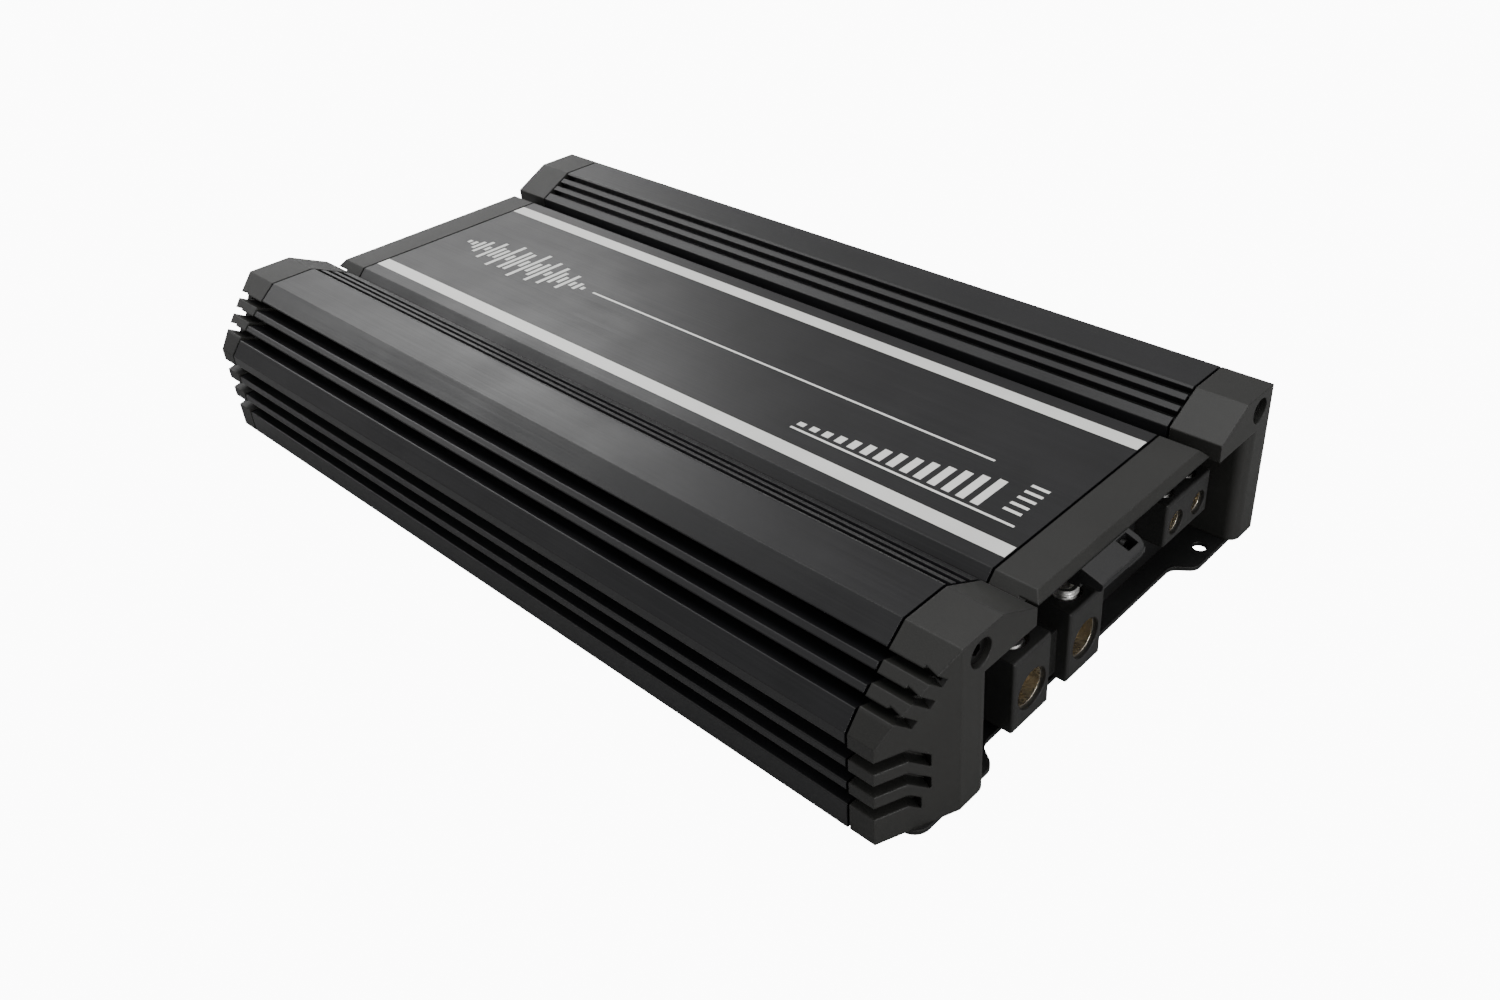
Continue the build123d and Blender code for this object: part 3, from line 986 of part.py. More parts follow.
def jack_insulator(y, z):
    """Insulator and centre contact of one signal socket, seated in its shell."""
    face = (CONTROL_PANEL - JACK_PLUG_SINK, y, z)
    plug = rod((-HALF + JACK_SEAT_DEPTH - 1.1, y, z), face, JACK_BORE_RADIUS)
    nose = rod(face, (CONTROL_PANEL - JACK_LENGTH + 0.6, y, z), JACK_PIN_RADIUS + JACK_PIN_WALL)
    bore = rod((CONTROL_PANEL + 2 * JACK_PLUG_SINK, y, z), (CONTROL_PANEL - JACK_LENGTH, y, z),
               JACK_PIN_RADIUS)
    return plug + nose - bore


def pot_body(y):
    front = -HALF + BEHIND_PANEL
    body = block(front, front + POT_DEPTH, y - POT_SIZE / 2, y + POT_SIZE / 2, KNOB_ROW - POT_SIZE / 2,
                 KNOB_ROW + POT_SIZE / 2)
    pin_low = KNOB_ROW - POT_SIZE / 2 + BEHIND_PANEL
    pin = block(front + POT_DEPTH, CONTROL_BOARD_X, y - PIN_ROW_WIDTH / 2, y + PIN_ROW_WIDTH / 2,
                pin_low, pin_low + PIN_ROW_HEIGHT)
    bore = rod((front - 1, y, KNOB_ROW), (front + POT_DEPTH - POT_SEAT, y, KNOB_ROW),
               SHAFT_RADIUS + SHAFT_CLEARANCE)
    return body + pin - bore


def knob(y):
    """Control knob on its shaft, with finger flutes and a pointer groove."""
    inner = -HALF + POT_DEPTH - POT_SEAT
    back = -HALF - BEHIND_PANEL / 2
    outer = CONTROL_PANEL - KNOB_PROUD
    shaft = rod((inner, y, KNOB_ROW), (back, y, KNOB_ROW), SHAFT_RADIUS)
    head = rod((back, y, KNOB_ROW), (outer, y, KNOB_ROW), KNOB_RADIUS)
    rim = [edge for edge in head.edges() if abs(edge.center().X - outer) < 0.01]
    head = chamfer(rim, KNOB_RIM)
    body = shaft + head
    flutes = []
    for index in range(KNOB_FLUTES):
        turn = 2 * pi * (index + 0.5) / KNOB_FLUTES
        ring_radius = KNOB_RADIUS + FLUTE_OFFSET
        place = (y + cos(turn) * ring_radius, KNOB_ROW + sin(turn) * ring_radius)
        flutes.append(rod((CONTROL_PANEL - 0.6, *place), (outer - 1, *place), FLUTE_RADIUS))
    pointer = block(outer - 1, outer + 0.6, y - POINTER_WIDTH / 2, y + POINTER_WIDTH / 2,
                    KNOB_ROW + POINTER_START, KNOB_ROW + KNOB_RADIUS + 1)
    return cut_all(body, flutes + [pointer])


def switch_body(y):
    width, height, depth = SWITCH_BODY
    front = -HALF + BEHIND_PANEL
    body = block(front, front + depth, y - width / 2, y + width / 2,
                 SWITCH_ROW - height / 2, SWITCH_ROW + height / 2)
    pin = block(front + depth, CONTROL_BOARD_X, y - PIN_ROW_WIDTH / 2, y + PIN_ROW_WIDTH / 2,
                SWITCH_ROW - PIN_ROW_HEIGHT / 2, SWITCH_ROW + PIN_ROW_HEIGHT / 2)
    reach = SLIDER_WIDTH / 2 + SWITCH_TRAVEL + WINDOW_CLEARANCE
    rise = SLIDER_HEIGHT / 2 + SLIDER_CLEARANCE
    slot = block(front - 1, front + depth - POT_SEAT, y - reach, y + reach,
                 SWITCH_ROW - rise, SWITCH_ROW + rise)
    return body + pin - slot


def slider(y):
    """Slide-switch actuator, resting at the -Y end of its travel."""
    y = y - SWITCH_TRAVEL
    outer = CONTROL_PANEL - SLIDER_PROUD
    inner = -HALF + SWITCH_BODY[2] - POT_SEAT
    stem = block(outer, inner, y - SLIDER_WIDTH / 2, y + SLIDER_WIDTH / 2, SWITCH_ROW - SLIDER_HEIGHT / 2,
                 SWITCH_ROW + SLIDER_HEIGHT / 2)
    ridges = [block(outer - 1, outer + RIDGE_DEPTH, y + shift - RIDGE_WIDTH / 2, y + shift + RIDGE_WIDTH / 2,
                    SWITCH_ROW - SLIDER_HEIGHT, SWITCH_ROW + SLIDER_HEIGHT)
              for shift in (-RIDGE_PITCH, 0.0, RIDGE_PITCH)]
    return cut_all(stem, ridges)


def remote_jack():
    """Modular socket for the remote level control."""
    y = REMOTE_JACK_Y
    front = -HALF - REMOTE_JACK_PROUD
    half, mouth_half, latch_half = REMOTE_JACK_WIDTH / 2, MOUTH_WIDTH / 2, LATCH_WIDTH / 2
    body = block(front, CONTROL_BOARD_X, y - half, y + half, BOARD_TOP, SWITCH_ROW + REMOTE_JACK_ABOVE)
    mouth = block(front - 1, -HALF + MOUTH_DEPTH, y - mouth_half, y + mouth_half,
                  SWITCH_ROW - MOUTH_BELOW, SWITCH_ROW + MOUTH_ABOVE)
    latch = block(front - 1, -HALF + LATCH_DEPTH, y - latch_half, y + latch_half,
                  SWITCH_ROW - LATCH_BELOW, SWITCH_ROW)
    return body - mouth - latch


def control_panel():
    """End panel of the control end, mirrored to +X while its holes are cut."""
    windows = [rod((HALF - 1, y, z), (PANEL_FRONT + 1, y, z), JACK_SHELL_RADIUS + 0.1)
               for y in JACK_COLUMNS for z in JACK_ROWS]
    windows += [rod((HALF - 1, y, KNOB_ROW), (PANEL_FRONT + 1, y, KNOB_ROW), KNOB_RADIUS + WINDOW_CLEARANCE)
                for y in KNOB_Y]
    reach = SLIDER_WIDTH / 2 + SWITCH_TRAVEL
    windows += [grown((y - reach, y + reach, SWITCH_ROW - SLIDER_HEIGHT / 2, SWITCH_ROW + SLIDER_HEIGHT / 2),
                      WINDOW_CLEARANCE) for y in SWITCH_Y]
    half = REMOTE_JACK_WIDTH / 2
    windows.append(grown((REMOTE_JACK_Y - half, REMOTE_JACK_Y + half, SWITCH_ROW - REMOTE_JACK_ABOVE,
                          SWITCH_ROW + REMOTE_JACK_ABOVE), REMOTE_JACK_CLEARANCE))
    return mirror(end_panel(windows), about=Plane.YZ)


# ---------------------------------------------------------------- write the sub-parts
terminal_cap = end_cap()
transformers = [wound_ring(x, TRANSFORMER_Y, TRANSFORMER_OUTER, TRANSFORMER_INNER, TRANSFORMER_HEIGHT, -1)
                for x in TRANSFORMER_X]
chokes = [wound_ring(x, CHOKE_Y, CHOKE_OUTER, CHOKE_INNER, CHOKE_HEIGHT, 1) for x in CHOKE_X]

save("heatsink", heatsink())
save("terminal_end_cap", terminal_cap)
save("control_end_cap", mirror(terminal_cap, about=Plane.YZ))
save("cap_screws", *[piece for y in (-CAP_SCREW_Y, CAP_SCREW_Y) for piece in both_ends(cap_screw(y))])
save("terminal_end_panel", end_panel(terminal_windows()))
save("control_end_panel", control_panel())
save("bottom_plate", bottom_plate())
save("bottom_plate_screws", *[plate_screw(x, y)
                              for x in PLATE_SCREW_X for y in (-PLATE_SCREW_Y, PLATE_SCREW_Y)])

save("power_terminal_housing", power_housing())
save("power_terminal_sockets", *[power_socket(y) for y in POWER_Y])
POWER_SCREW_X = TERMINAL_FRONT - POWER_SCREW_SETBACK
for name, y, top in zip(("ground_clamp_screw", "battery_clamp_screw"), POWER_Y, POWER_SCREW_TOPS):
    save(name, set_screw(POWER_SCREW_X, y, top, POWER_SCREW_LENGTH, POWER_SCREW_RADIUS,
                         POWER_SCREW_KEY))
save("remote_terminal_socket", remote_socket())
save("remote_clamp_screw", set_screw(REMOTE_FRONT - REMOTE_SCREW_SETBACK, REMOTE_Y,
                                     REMOTE_HIGH - REMOTE_SCREW_SINK, REMOTE_SCREW_LENGTH,
                                     REMOTE_SCREW_RADIUS, REMOTE_SCREW_KEY))
save("speaker_terminal_housing", speaker_housing())
save("speaker_terminal_sockets", *[speaker_socket(y) for y in SPEAKER_WIRES])
for name, y in zip(("speaker_negative_clamp_screw", "speaker_positive_clamp_screw"), SPEAKER_WIRES):
    save(name, set_screw(SPEAKER_FRONT - SPEAKER_SCREW_SETBACK, y, SPEAKER_SCREW_TOP, SPEAKER_SCREW_LENGTH,
                         SPEAKER_SCREW_RADIUS, SPEAKER_SCREW_KEY))
save("status_hood", status_hood())
save("status_lenses", *[lens_body(y) for y in LENS_Y])
save("status_hood_screw", hood_screw())

save("main_board", main_board())
save("board_standoffs", *standoffs())
save("board_screws", *board_screws())
save("transformer_cores", *[core for core, winding in transformers])
save("transformer_windings", *[winding for core, winding in transformers])
save("output_choke_cores", *[core for core, winding in chokes])
save("output_choke_windings", *[winding for core, winding in chokes])
save("input_capacitors", *input_cans())
save("rail_capacitors", *rail_cans())
save("film_capacitors", *film_capacitors())
save("power_transistors", *[piece for x in PACKAGE_X for piece in both_sides(transistor(x))])
save("insulating_pads", *both_sides(insulating_pad()))
save("transistor_clamp_bars", *both_sides(clamp_bar()))
save("clamp_bar_screws", *[piece for x in CLAMP_SCREW_X for piece in both_sides(clamp_screw(x))])
save("driver_board", driver_board())
save("driver_chips", *driver_chips())

save("control_board", control_board())
save("signal_jack_body", jack_body())
save("signal_jack_shells", *[jack_shell(y, z) for y in JACK_COLUMNS for z in JACK_ROWS])
save("signal_jack_insulators", *[jack_insulator(y, z) for y in JACK_COLUMNS for z in JACK_ROWS])
save("potentiometer_bodies", *[pot_body(y) for y in KNOB_Y])
for name, y in zip(("input_level_knob", "low_pass_knob", "subsonic_knob", "bass_boost_knob"), KNOB_Y):
    save(name, knob(y))
save("slide_switch_bodies", *[switch_body(y) for y in SWITCH_Y])
for name, y in zip(("phase_slider", "link_slider"), SWITCH_Y):
    save(name, slider(y))
save("remote_level_jack", remote_jack())
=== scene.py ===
# %% [markdown]
# # Car audio amplifier
# The case, its screws, terminals and boards arrive as a finished CAD frame, at their real size.
# This script gives each of them its surface, and adds what is printed, threaded or wound: things that a
# CAD model leaves plain. Everything is in metres, with X along the case and Z up.

import json
import math

import bmesh
import bpy
from mathutils import Matrix, Vector


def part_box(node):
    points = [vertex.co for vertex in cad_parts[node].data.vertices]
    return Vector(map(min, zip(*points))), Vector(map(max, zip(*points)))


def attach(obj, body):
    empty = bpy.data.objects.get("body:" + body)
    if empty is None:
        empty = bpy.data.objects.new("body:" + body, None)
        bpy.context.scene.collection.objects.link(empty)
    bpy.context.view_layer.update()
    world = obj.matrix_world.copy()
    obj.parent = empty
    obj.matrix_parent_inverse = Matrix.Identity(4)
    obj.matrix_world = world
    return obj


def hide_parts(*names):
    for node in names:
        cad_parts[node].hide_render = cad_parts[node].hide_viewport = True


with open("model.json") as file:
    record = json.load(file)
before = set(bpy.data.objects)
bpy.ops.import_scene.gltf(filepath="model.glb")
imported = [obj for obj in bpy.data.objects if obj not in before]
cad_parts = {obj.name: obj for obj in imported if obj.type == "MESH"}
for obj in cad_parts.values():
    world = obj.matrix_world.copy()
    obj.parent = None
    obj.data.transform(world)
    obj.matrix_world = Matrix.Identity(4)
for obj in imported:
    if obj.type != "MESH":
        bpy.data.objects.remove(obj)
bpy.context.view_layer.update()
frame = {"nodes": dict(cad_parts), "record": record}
nodes = frame["nodes"]
MM = 0.001

# %% [markdown]
# ## Colours, nodes and scales
# Paint and plastic are described by sRGB hex values, but shaders work in linear light, so one function
# converts them. A second one adds a node together with its settings and links, which keeps each material
# readable from top to bottom. Patterns read Object coordinates, which are metres here, so a pattern
# that repeats every so many millimetres needs a scale of 1000 divided by that size.


# %% Helpers for every material
def linear(hex_colour):
    """An sRGB hex colour as linear red, green, blue and alpha."""
    values = [int(hex_colour[i:i + 2], 16) / 255 for i in (1, 3, 5)]
    return [v / 12.92 if v <= 0.04045 else ((v + 0.055) / 1.055) ** 2.4 for v in values] + [1.0]


def add(tree, kind, inputs=None, **settings):
    """Add a node; an input is either a value or another node's output socket."""
    node = tree.nodes.new(kind)
    for name, value in settings.items():
        setattr(node, name, value)
    for name, value in (inputs or {}).items():
        if isinstance(value, bpy.types.NodeSocket):
            tree.links.new(value, node.inputs[name])
        else:
            node.inputs[name].default_value = value
    return node


def every(size_mm):
    """Texture scale for a pattern that repeats about every size_mm millimetres."""
    return 1000 / size_mm


print("mid grey in linear light:", round(linear("#808080")[0], 3))

# %% [markdown]
# ## How a surface is put together
# Almost every surface of this object is one idea: a base colour that wanders a little, a roughness
# that wanders with it, and a fine bump for the grain of the finish. Extruded and drawn metal has its
# grain stretched along one axis. A Bevel node rounds the shading at sharp edges, the way
# tumbling, casting or paint rounds them, and catches a thin highlight there.


# %% The shared surface builder
WANDER_LOW, WANDER_HIGH = 0.7, 1.3           # usual range of two noises added together
GRAIN_HEIGHT = 0.05 * MM


def surface(name, colour, other_colour, rough, grain_mm, bump, stretch=(1, 1, 1), edge_mm=0.25,
            blotch_mm=25.0, rough_swing=0.05, **shader_values):
    """A material with wandering colour and roughness, fine grain and softened edges."""
    material = bpy.data.materials.new(name)
    material.use_nodes = True
    tree = material.node_tree
    shader = tree.nodes["Principled BSDF"]
    place = add(tree, "ShaderNodeTexCoord").outputs["Object"]
    pulled = add(tree, "ShaderNodeMapping", {"Vector": place, "Scale": stretch}).outputs["Vector"]
    grain = add(tree, "ShaderNodeTexNoise", {"Vector": pulled, "Scale": every(grain_mm), "Detail": 3.0})
    blotch = add(tree, "ShaderNodeTexNoise", {"Vector": place, "Scale": every(blotch_mm), "Detail": 4.0})
    both = add(tree, "ShaderNodeMath", {0: grain.outputs["Fac"], 1: blotch.outputs["Fac"]}, operation="ADD")
    wander = add(tree, "ShaderNodeMapRange",
                 {"Value": both.outputs[0], "From Min": WANDER_LOW, "From Max": WANDER_HIGH}).outputs[0]
    mixed = add(tree, "ShaderNodeMix", {0: wander, 6: linear(colour), 7: linear(other_colour)},
                data_type="RGBA")
    tree.links.new(mixed.outputs[2], shader.inputs["Base Color"])
    swing = add(tree, "ShaderNodeMapRange", {"Value": wander, "To Min": rough - rough_swing,
                                             "To Max": rough + rough_swing})
    tree.links.new(swing.outputs[0], shader.inputs["Roughness"])
    rounded = add(tree, "ShaderNodeBevel", {"Radius": edge_mm * MM}, samples=4)
    relief = add(tree, "ShaderNodeBump", {"Height": grain.outputs["Fac"], "Strength": bump,
                                          "Distance": GRAIN_HEIGHT, "Normal": rounded.outputs[0]})
    tree.links.new(relief.outputs[0], shader.inputs["Normal"])
    for socket, value in shader_values.items():
        shader.inputs[socket.replace("_", " ")].default_value = value
    return material


# %% [markdown]
# ## The metals and paints of the case
# The long body is an aluminium extrusion, dyed and anodised black. The die leaves fine lines along
# its length, which stay visible under the dye as a soft lengthwise sheen. The end caps are die castings
# with a satin powder coat: a shade lighter, rougher, and finely textured all over.

# %% Case finishes
LENGTHWISE = (0.01, 1, 1)
anodised = surface("black_anodised_aluminium", "#0c0c0e", "#131315", rough=0.36, grain_mm=0.5, bump=0.35,
                   stretch=LENGTHWISE, edge_mm=0.25, Specular_IOR_Level=0.5)
powder_coat = surface("satin_powder_coat", "#181816", "#1e1e1c", rough=0.48, grain_mm=0.35, bump=0.5,
                      edge_mm=0.6, rough_swing=0.04)
black_steel = surface("black_coated_sheet_steel", "#0a0a0a", "#101010", rough=0.45, grain_mm=0.5, bump=0.3)
black_oxide = surface("black_oxide_screw_steel", "#0b0b0b", "#171615", rough=0.32, grain_mm=0.2, bump=0.3,
                      Metallic=0.6, edge_mm=0.2)
print("case finishes:", anodised.name, powder_coat.name, black_steel.name, black_oxide.name)

# %% [markdown]
# ## Terminals and screws
# The cable sockets are turned and drilled from brass, then nickel plated, so they are bright with
# a faint warm cast. Their housings are moulded glass-filled nylon, matt with a slight cloudiness. The
# hood over the lamps gets a plainer, darker copy of that nylon. This is painted shade: it stands in for the
# shade of the recess, so the hood sinks into it.

# %% Terminal finishes
nickel = surface("nickel_plated_brass", "#e4dac6", "#f6efe0", rough=0.24, grain_mm=0.3, bump=0.2,
                 Metallic=1.0, edge_mm=0.2)
zinc = surface("zinc_plated_steel", "#cfcfcd", "#e3e2de", rough=0.3, grain_mm=0.25, bump=0.2, Metallic=1.0)
nylon = surface("glass_filled_nylon", "#131312", "#191918", rough=0.46, grain_mm=0.4, bump=0.45, edge_mm=0.4)
# Painted shade: a darker copy of the housing nylon, standing in for the shade that falls in the recess.
hood_nylon_painted_shade = surface("nylon_darkened_for_painted_shade", "#070708", "#0b0b0c", rough=0.5, grain_mm=0.4, bump=0.35,
                     edge_mm=0.4)
lamp_lens = surface("smoked_lamp_lens", "#050506", "#08080a", rough=0.12, grain_mm=1.0, bump=0.05)
print("terminal finishes:", nickel.name, zinc.name, nylon.name, hood_nylon_painted_shade.name, lamp_lens.name)

# %% [markdown]
# ## What is inside
# The inside is rarely seen, but the part can be opened up, so each piece has the finish of the
# real one: solder mask on glass-epoxy board, coated ferrite, enamelled copper, shrunk sleeves on the
# capacitors, moulded semiconductor packages.

# %% Inside finishes
board_green = surface("solder_mask_on_glass_epoxy", "#0c3320", "#114029", rough=0.35, grain_mm=0.6, bump=0.4)
brass = surface("turned_brass", "#b08d4a", "#c39f58", rough=0.3, grain_mm=0.3, bump=0.2, Metallic=1.0)
ferrite = surface("coated_ferrite", "#1f3a24", "#274a2d", rough=0.5, grain_mm=0.5, bump=0.5)
copper = surface("enamelled_copper_wire", "#8a3f1c", "#a65427", rough=0.25, grain_mm=0.8, bump=0.15,
                 Metallic=0.9, Coat_Weight=0.6)
sleeve = surface("shrunk_plastic_sleeve", "#0b0b12", "#12121b", rough=0.28, grain_mm=1.2, bump=0.2)
film_box = surface("potted_film_capacitor", "#7c1a14", "#8f241b", rough=0.35, grain_mm=0.8, bump=0.2)
package = surface("moulded_epoxy_package", "#101010", "#181818", rough=0.6, grain_mm=0.25, bump=0.5)
pad_rubber = surface("silicone_thermal_pad", "#8b8b84", "#9a9a93", rough=0.75, grain_mm=0.5, bump=0.5)
bar_steel = surface("rolled_bar_steel", "#83858a", "#9a9ca0", rough=0.35, grain_mm=0.4, bump=0.3,
                    stretch=LENGTHWISE, Metallic=1.0)
knob_plastic = surface("moulded_abs", "#121212", "#191919", rough=0.42, grain_mm=0.4, bump=0.3)
white_plastic = surface("moulded_white_insulator", "#c9c8c2", "#d8d7d1", rough=0.4, grain_mm=0.5, bump=0.2)
silver_ink = surface("screen_printed_silver_ink", "#dededb", "#ebebe8", rough=0.42, grain_mm=0.15, bump=0.3,
                     edge_mm=0.02, Metallic=0.2)
white_ink = surface("screen_printed_white_ink", "#dcdcd9", "#e6e6e3", rough=0.55, grain_mm=0.15, bump=0.2,
                    edge_mm=0.02)
resistor_body = surface("lacquered_resistor", "#b79a6a", "#c4a878", rough=0.4, grain_mm=0.6, bump=0.15)
resistor_band = surface("resistor_band_paint", "#5a2412", "#6b2d17", rough=0.4, grain_mm=0.6, bump=0.1)
ceramic = surface("dipped_ceramic", "#a8642a", "#b97233", rough=0.35, grain_mm=0.8, bump=0.2)
diode_body = surface("moulded_diode", "#0d0d0d", "#151515", rough=0.4, grain_mm=0.5, bump=0.2)
tinned = surface("tinned_wire", "#b8b8b6", "#cccccb", rough=0.32, grain_mm=0.4, bump=0.2, Metallic=1.0)
print("finishes in all:", len(bpy.data.materials))

# %% [markdown]
# ## Dressing the CAD nodes
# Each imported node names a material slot. The slots are few, so a table from slot to finish dresses
# every node in one loop, and a node without a finish would stop the script here.

# %% Give every node its finish
FINISH_OF_SLOT = {
    "heatsink_anodised": anodised, "cap_paint": powder_coat, "terminal_plastic": nylon,
    "plated_brass": nickel, "screw_steel": zinc, "black_steel": black_steel, "lamp_lens": lamp_lens,
    "board": board_green, "brass": brass, "ferrite": ferrite, "copper_wire": copper,
    "capacitor_sleeve": sleeve, "film_capacitor": film_box, "package_plastic": package,
    "silicone_pad": pad_rubber, "bar_steel": bar_steel, "knob_plastic": knob_plastic,
    "jack_insulator": white_plastic,
}
slot_of_node = {row["node"]: row["material_slot"] for row in frame["record"]["subparts"]}
for node_name, node in nodes.items():
    node.data.materials.clear()
    node.data.materials.append(FINISH_OF_SLOT[slot_of_node[node_name]])
for screw_node in ("cap_screws", "bottom_plate_screws", "status_hood_screw"):
    nodes[screw_node].data.materials[0] = black_oxide
# Painted shade: the hood takes the darkened nylon that stands in for the recess's shade.
nodes["status_hood"].data.materials[0] = hood_nylon_painted_shade
print("dressed", len(nodes), "nodes")


# %% [markdown]
# ## Turning mesh data into pieces
# Every piece that is made here ends the same way: a mesh whose object sits at the origin, a finish
# and a body to ride on. One function does that.

# %% Finish a piece
def finish_piece(name, mesh, material, body, stands_for=()):
    """Link a mesh as a piece that rides on a body."""
    piece = bpy.data.objects.new(name, mesh)
    bpy.context.scene.collection.objects.link(piece)
    mesh.materials.clear()
    mesh.materials.append(material)
    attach(piece, body)
    if stands_for:
        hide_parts(*stands_for)
    print(name, "has", len(mesh.polygons), "faces")
    return piece


# %% [markdown]
# ## Printed stripes
# The case carries two broad silver stripes and a thin centre line, screen printed on the flat
# top. Ink has a thickness of a few hundredths of a millimetre and slightly rounded borders. A flat
# polygon lifted a hair above the surface and given that thickness shows the same, and it keeps a clean edge
# at any distance, which a painted mask would lose.

# %% Ink shapes
INK = 0.04 * MM
PLATEAU_DROP = 7.2 * MM       # from the crests down to the flat top
plateau_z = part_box("heatsink")[1].z - PLATEAU_DROP
half_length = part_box("heatsink")[1].x
panel_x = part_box("control_end_panel")[0].x


def on_top(x, y, lift):
    """A point of the flat top, from its place in millimetres and its height above it."""
    return x * MM, y * MM, plateau_z + lift


def on_control_panel(y, z, lift):
    """A point of the control end's panel, from its place in millimetres and its height above it."""
    return panel_x - lift, y * MM, z * MM


def ink_mesh(name, outlines, place):
    """Flat closed shapes with the thickness of ink, lying on a face of the case."""
    bm = bmesh.new()
    for outline in outlines:
        low = [bm.verts.new(place(u, v, 0)) for u, v in outline]
        high = [bm.verts.new(place(u, v, INK)) for u, v in outline]
        bm.faces.new(high)
        bm.faces.new(list(reversed(low)))
        for i in range(len(outline)):
            j = (i + 1) % len(outline)
            bm.faces.new((low[i], low[j], high[j], high[i]))
    bmesh.ops.recalc_face_normals(bm, faces=bm.faces)
    mesh = bpy.data.meshes.new(name)
    bm.to_mesh(mesh)
    bm.free()
    return mesh


def strip(x0, x1, y0, y1):
    """Corners of a rectangle, in millimetres."""
    return [(x0, y0), (x1, y0), (x1, y1), (x0, y1)]


print("ink stands", round(INK / MM, 3), "mm proud at height", round(plateau_z / MM, 2), "mm")


# %% Two broad stripes and the centre line
STRIPE_INNER, STRIPE_OUTER = 30.1, 35.5
STRIPE_END_GAP = 0.2          # end of the body to the end of a stripe
LINE_FROM, LINE_TO, LINE_WIDTH = -61.0, 122.0, 0.9
reach = half_length / MM - STRIPE_END_GAP
finish_piece("silver_stripes",
             ink_mesh("silver_stripes", [strip(-reach, reach, side * STRIPE_INNER, side * STRIPE_OUTER)
                                         for side in (-1, 1)], on_top),
             silver_ink, "root")
finish_piece("centre_line",
             ink_mesh("centre_line", [strip(LINE_FROM, LINE_TO, -LINE_WIDTH / 2, LINE_WIDTH / 2)], on_top),
             silver_ink, "root")

# %% [markdown]
# ## Two plain ornaments
# Where such an amplifier usually carries words, this one carries two plain graphics: a row of upright
# bars that swells and fades like a sound wave, and a level scale that climbs towards the terminals. Both
# are worked out by a formula, which keeps their bars even, and they hold no lettering.

# %% The wave and the level scale
WAVE_FROM, WAVE_TO, WAVE_BARS = -139.0, -67.0, 25
WAVE_BAR_HALF, WAVE_LEAST, WAVE_MOST = 0.85, 1.0, 11.0
SWELL_POWER = 0.7             # under 1 makes the wave fuller towards its ends
RIPPLE_MEAN, RIPPLE_SWING, RIPPLE_STEP = 0.55, 0.45, 2.4
wave = []
for index in range(WAVE_BARS):
    share = index / (WAVE_BARS - 1)
    x = WAVE_FROM + (WAVE_TO - WAVE_FROM) * share
    swell = math.sin(math.pi * share) ** SWELL_POWER
    ripple = RIPPLE_MEAN + RIPPLE_SWING * math.cos(RIPPLE_STEP * index)
    half = WAVE_LEAST + (WAVE_MOST - WAVE_LEAST) * swell * ripple
    wave.append(strip(x - WAVE_BAR_HALF, x + WAVE_BAR_HALF, -half, half))
finish_piece("wave_ornament", ink_mesh("wave_ornament", wave, on_top), white_ink, "root")

SCALE_FROM, SCALE_TO, SCALE_BARS = 64.0, 130.0, 14
SCALE_FOOT, SCALE_LOW, SCALE_HIGH = -21.0, 2.0, 14.5
SCALE_BAR_HALF, SCALE_POWER = 1.4, 1.4
BASE_FROM, BASE_TO = SCALE_FROM - 2.0, 145.0
BASE_LOW, BASE_HIGH = SCALE_FOOT - 2.4, SCALE_FOOT - 1.5
MARK_FROM, MARK_TO, MARK_WIDTH = 137.5, 143.5, 1.2
MARK_FOOT, MARK_PITCH, MARKS = -18.0, 3.4, 5
scale = []
for index in range(SCALE_BARS):
    share = index / (SCALE_BARS - 1)
    x = SCALE_FROM + (SCALE_TO - SCALE_FROM) * share
    tall = SCALE_LOW + (SCALE_HIGH - SCALE_LOW) * share ** SCALE_POWER
    scale.append(strip(x - SCALE_BAR_HALF, x + SCALE_BAR_HALF, SCALE_FOOT, SCALE_FOOT + tall))
scale.append(strip(BASE_FROM, BASE_TO, BASE_LOW, BASE_HIGH))
for index in range(MARKS):
    y = MARK_FOOT + MARK_PITCH * index
    scale.append(strip(MARK_FROM, MARK_TO, y, y + MARK_WIDTH))
finish_piece("level_scale", ink_mesh("level_scale", scale, on_top), white_ink, "root")

# %% [markdown]
# ## Ticks round the knobs
# Each knob on the control end turns through 290 degrees, and eleven printed ticks show its range. A
# tick is a thin rectangle set along a radius, and its place comes from the knob's own box, so the
# ticks stay centred if a knob moves.

# %% Knob ticks
KNOBS = ("input_level_knob", "low_pass_knob", "subsonic_knob", "bass_boost_knob")
KNOB_SWEEP, TICKS = 290.0, 11
TICK_INNER, TICK_OUTER, TICK_HALF_WIDTH = 4.6, 5.9, 0.2
CORNERS = ((TICK_INNER, -TICK_HALF_WIDTH), (TICK_OUTER, -TICK_HALF_WIDTH),
           (TICK_OUTER, TICK_HALF_WIDTH), (TICK_INNER, TICK_HALF_WIDTH))
ticks = []
for knob_node in KNOBS:
    low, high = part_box(knob_node)
    middle_y, middle_z = (low.y + high.y) / 2 / MM, (low.z + high.z) / 2 / MM
    for index in range(TICKS):
        angle = math.radians(-KNOB_SWEEP / 2 + KNOB_SWEEP * index / (TICKS - 1))
        outward = (math.sin(angle), math.cos(angle))
        aside = (outward[1], -outward[0])
        ticks.append([(middle_y + outward[0] * out + aside[0] * side,
                       middle_z + outward[1] * out + aside[1] * side) for out, side in CORNERS])
finish_piece("knob_ticks", ink_mesh("knob_ticks", ticks, on_control_panel), white_ink, "root")

# %% [markdown]
# ## Threaded clamping screws
# The CAD screws have no thread. These have the real thing: a helical thread, a hexagon socket and a
# cone tip. A thread could be swept along a helix and joined to a rod, but the seam is hard to close.
# Here a screw is a stack of rings with the same number of points. On the thread, a point's radius
# follows its height and its angle together, which makes the helix and one closed skin.

